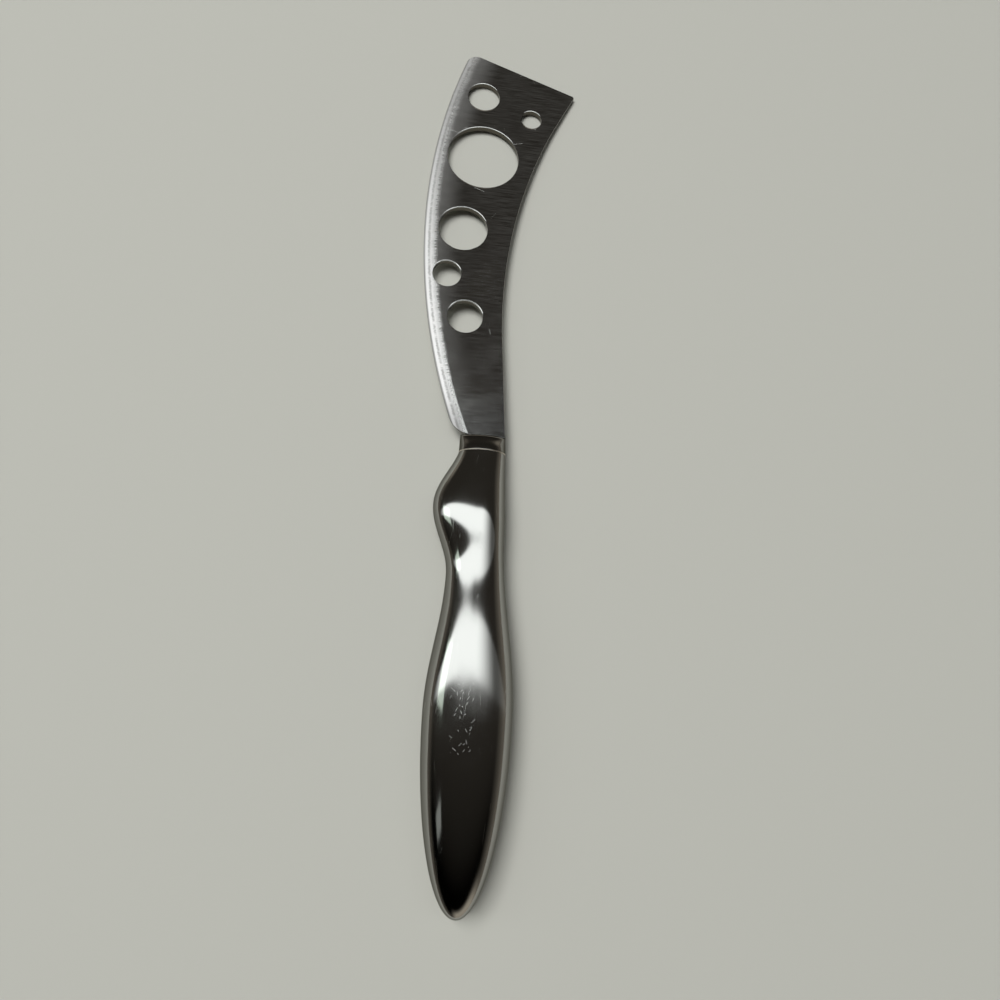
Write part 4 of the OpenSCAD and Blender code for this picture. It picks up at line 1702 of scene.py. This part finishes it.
@dataclass(frozen=True)
class Studio:
    """The plain floor, the dim surroundings with their ceiling light, and the lamps.

    A glow is a product of fades along the axes of the direction that is looked in.
    """

    floor_radius: float = 4.0
    floor_sides: int = 128
    floor_colour: Colour = (0.5, 0.5, 0.455, 1.0)
    floor_roughness: float = 0.7
    backdrop: Colour = (0.62, 0.62, 0.6, 1.0)
    light_colour: Triple = (0.96, 1.0, 0.995)
    room_colour: Triple = (1.0, 0.9, 0.74)
    room: Fade = Fade(-45.0, 5.0, 0.0005, 0.03)
    horizon: Glow = (("z", Fade(0.0, 0.35, 0.12, 0.0)),)
    back_glow: Glow = (
        ("y", Fade(-0.75, -0.45, 0.42, 0.0)),
        ("z", Fade(0.3, 0.55, 1.0, 0.0)),
        ("x", Fade(-0.3, 0.15)),
    )
    front_glow: Glow = (
        ("y", Fade(0.6, 0.85, 0.0, 0.3)),
        ("z", Fade(0.15, 0.3, 1.0, 0.0)),
    )
    right_glow: Glow = (
        ("x", Fade(0.6, 0.85, 0.0, 0.05)),
        ("z", Fade(0.3, 0.5, 1.0, 0.0)),
    )
    lamps: tuple[Softbox, ...] = (
        Softbox(
            "left lamp", azimuth=-82.0, elevation=34.0, distance=2.6, width=0.6, height=0.8,
            radiance=0.9, colour=(0.86, 1.0, 0.88),
        ),
        Softbox(
            "rear lamp", azimuth=-116.0, elevation=38.0, distance=2.6, width=0.3, height=0.6,
            radiance=0.3, colour=(0.95, 1.0, 0.95),
        ),
        Softbox(
            "fill lamp", azimuth=-60.0, elevation=67.0, distance=3.4, width=1.7, height=1.7,
            radiance=11.2, colour=(1.0, 1.0, 1.0), reach=Reach.SOFT_ONLY,
        ),
    )

    def surroundings(self) -> None:
        """Makes the world: a ceiling light over a room that is darkest behind the knife."""
        world = bpy.data.worlds.new("surroundings")
        world.use_nodes = True
        bpy.context.scene.world = world
        net = Wiring(world.node_tree)
        net.tree.nodes.clear()
        x, y, z = net.parts(net.node("ShaderNodeTexCoord").outputs["Generated"])
        ahead = net.math("DEGREES", net.math("ARCTAN2", y, z))
        aside = net.math("DEGREES", net.math("ARCTAN2", x, z))

        def glow(fades: Glow) -> Signal:
            """The product of a glow's fades."""
            along = {"x": x, "y": y, "z": z}
            first, *others = (net.fade(along[axis], fade) for axis, fade in fades)
            for other in others:
                first = first * other
            return first

        low = net.math("MAXIMUM", glow(self.horizon), glow(self.back_glow))
        low = low + net.math("MAXIMUM", glow(self.front_glow), glow(self.right_glow))
        room = net.scaled(self.room_colour, net.fade(ahead, self.room) + low)
        light = net.scaled(self.light_colour, CeilingLight().level(net, ahead, aside))
        seen = net.node("ShaderNodeLightPath").outputs["Is Camera Ray"]
        shade = net.tint(seen, net.vector("ADD", room, light), self.backdrop)
        net.node("ShaderNodeOutputWorld", in0=net.signal("ShaderNodeBackground", Color=shade, Strength=1.0))

    def build(self) -> Object:
        """Adds the floor, the world and the lamps, sets the plain view, and returns the floor."""
        work = bmesh.new()
        bmesh.ops.create_circle(work, cap_ends=True, segments=self.floor_sides, radius=self.floor_radius)
        mesh = bpy.data.meshes.new("floor")
        work.to_mesh(mesh)
        work.free()
        material = bpy.data.materials.new("floor")
        material.use_nodes = True
        shader = material.node_tree.nodes["Principled BSDF"]
        shader.inputs["Base Color"].default_value = self.floor_colour
        shader.inputs["Roughness"].default_value = self.floor_roughness
        bpy.context.scene.view_settings.view_transform = "Standard"
        self.surroundings()
        for lamp in self.lamps:
            lamp.place()
        return new_piece("floor", mesh, material)


def dress(piece: Object, node: str) -> None:
    """Hangs a finished piece on the body, in place of its node, and reports it."""
    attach(piece, BODY)
    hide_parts(node)
    LOG.info("%s stands for %s, %d faces", piece.name, node, len(piece.data.polygons))


def main() -> None:
    """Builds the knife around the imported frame."""
    logging.basicConfig(level=logging.INFO)
    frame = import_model()
    sizes = KnifeSizes()
    lie = Lie(sizes, frame["record"])
    groups = EffectGroups()
    Viewpoint().place(lie)
    Studio().build()

    steel = PolishedSteel("handle_steel").make(lie, groups)
    # Painted shade: the bolster's steel has darker colours than the handle's.
    shade_darkened_steel = PolishedSteel(
        "bolster_steel", colour=(0.38, 0.372, 0.355, 1.0), flank_shade_colour=(0.14, 0.135, 0.12, 1.0),
        roughness=0.12, marked_y=OFF_THE_KNIFE,
    ).make(lie, groups)
    handle = Handle(sizes, lie, steel)
    joint = Joint(sizes, lie, shade_darkened_steel, FiledSolder().make(lie, groups))
    blade = Blade(sizes, lie, BrushedBlade().make(lie, groups, sizes))
    dress(handle.shell("handle_shell_upper", 1.0), "handle_upper")
    dress(handle.shell("handle_shell_lower", -1.0), "handle_lower")
    dress(handle.weld("handle_weld"), "seam_weld")
    dress(joint.bolster("bolster_collar"), "bolster")
    dress(joint.ring("solder_ring"), "solder_joint")
    dress(blade.build("blade_plate"), "blade")
    core = frame["nodes"]["handle_core"]
    core.data.materials.clear()
    core.data.materials.append(CastCement().make(lie, groups))
    LOG.info("handle_core keeps its own shape, in cement")


if __name__ == "__main__":
    main()
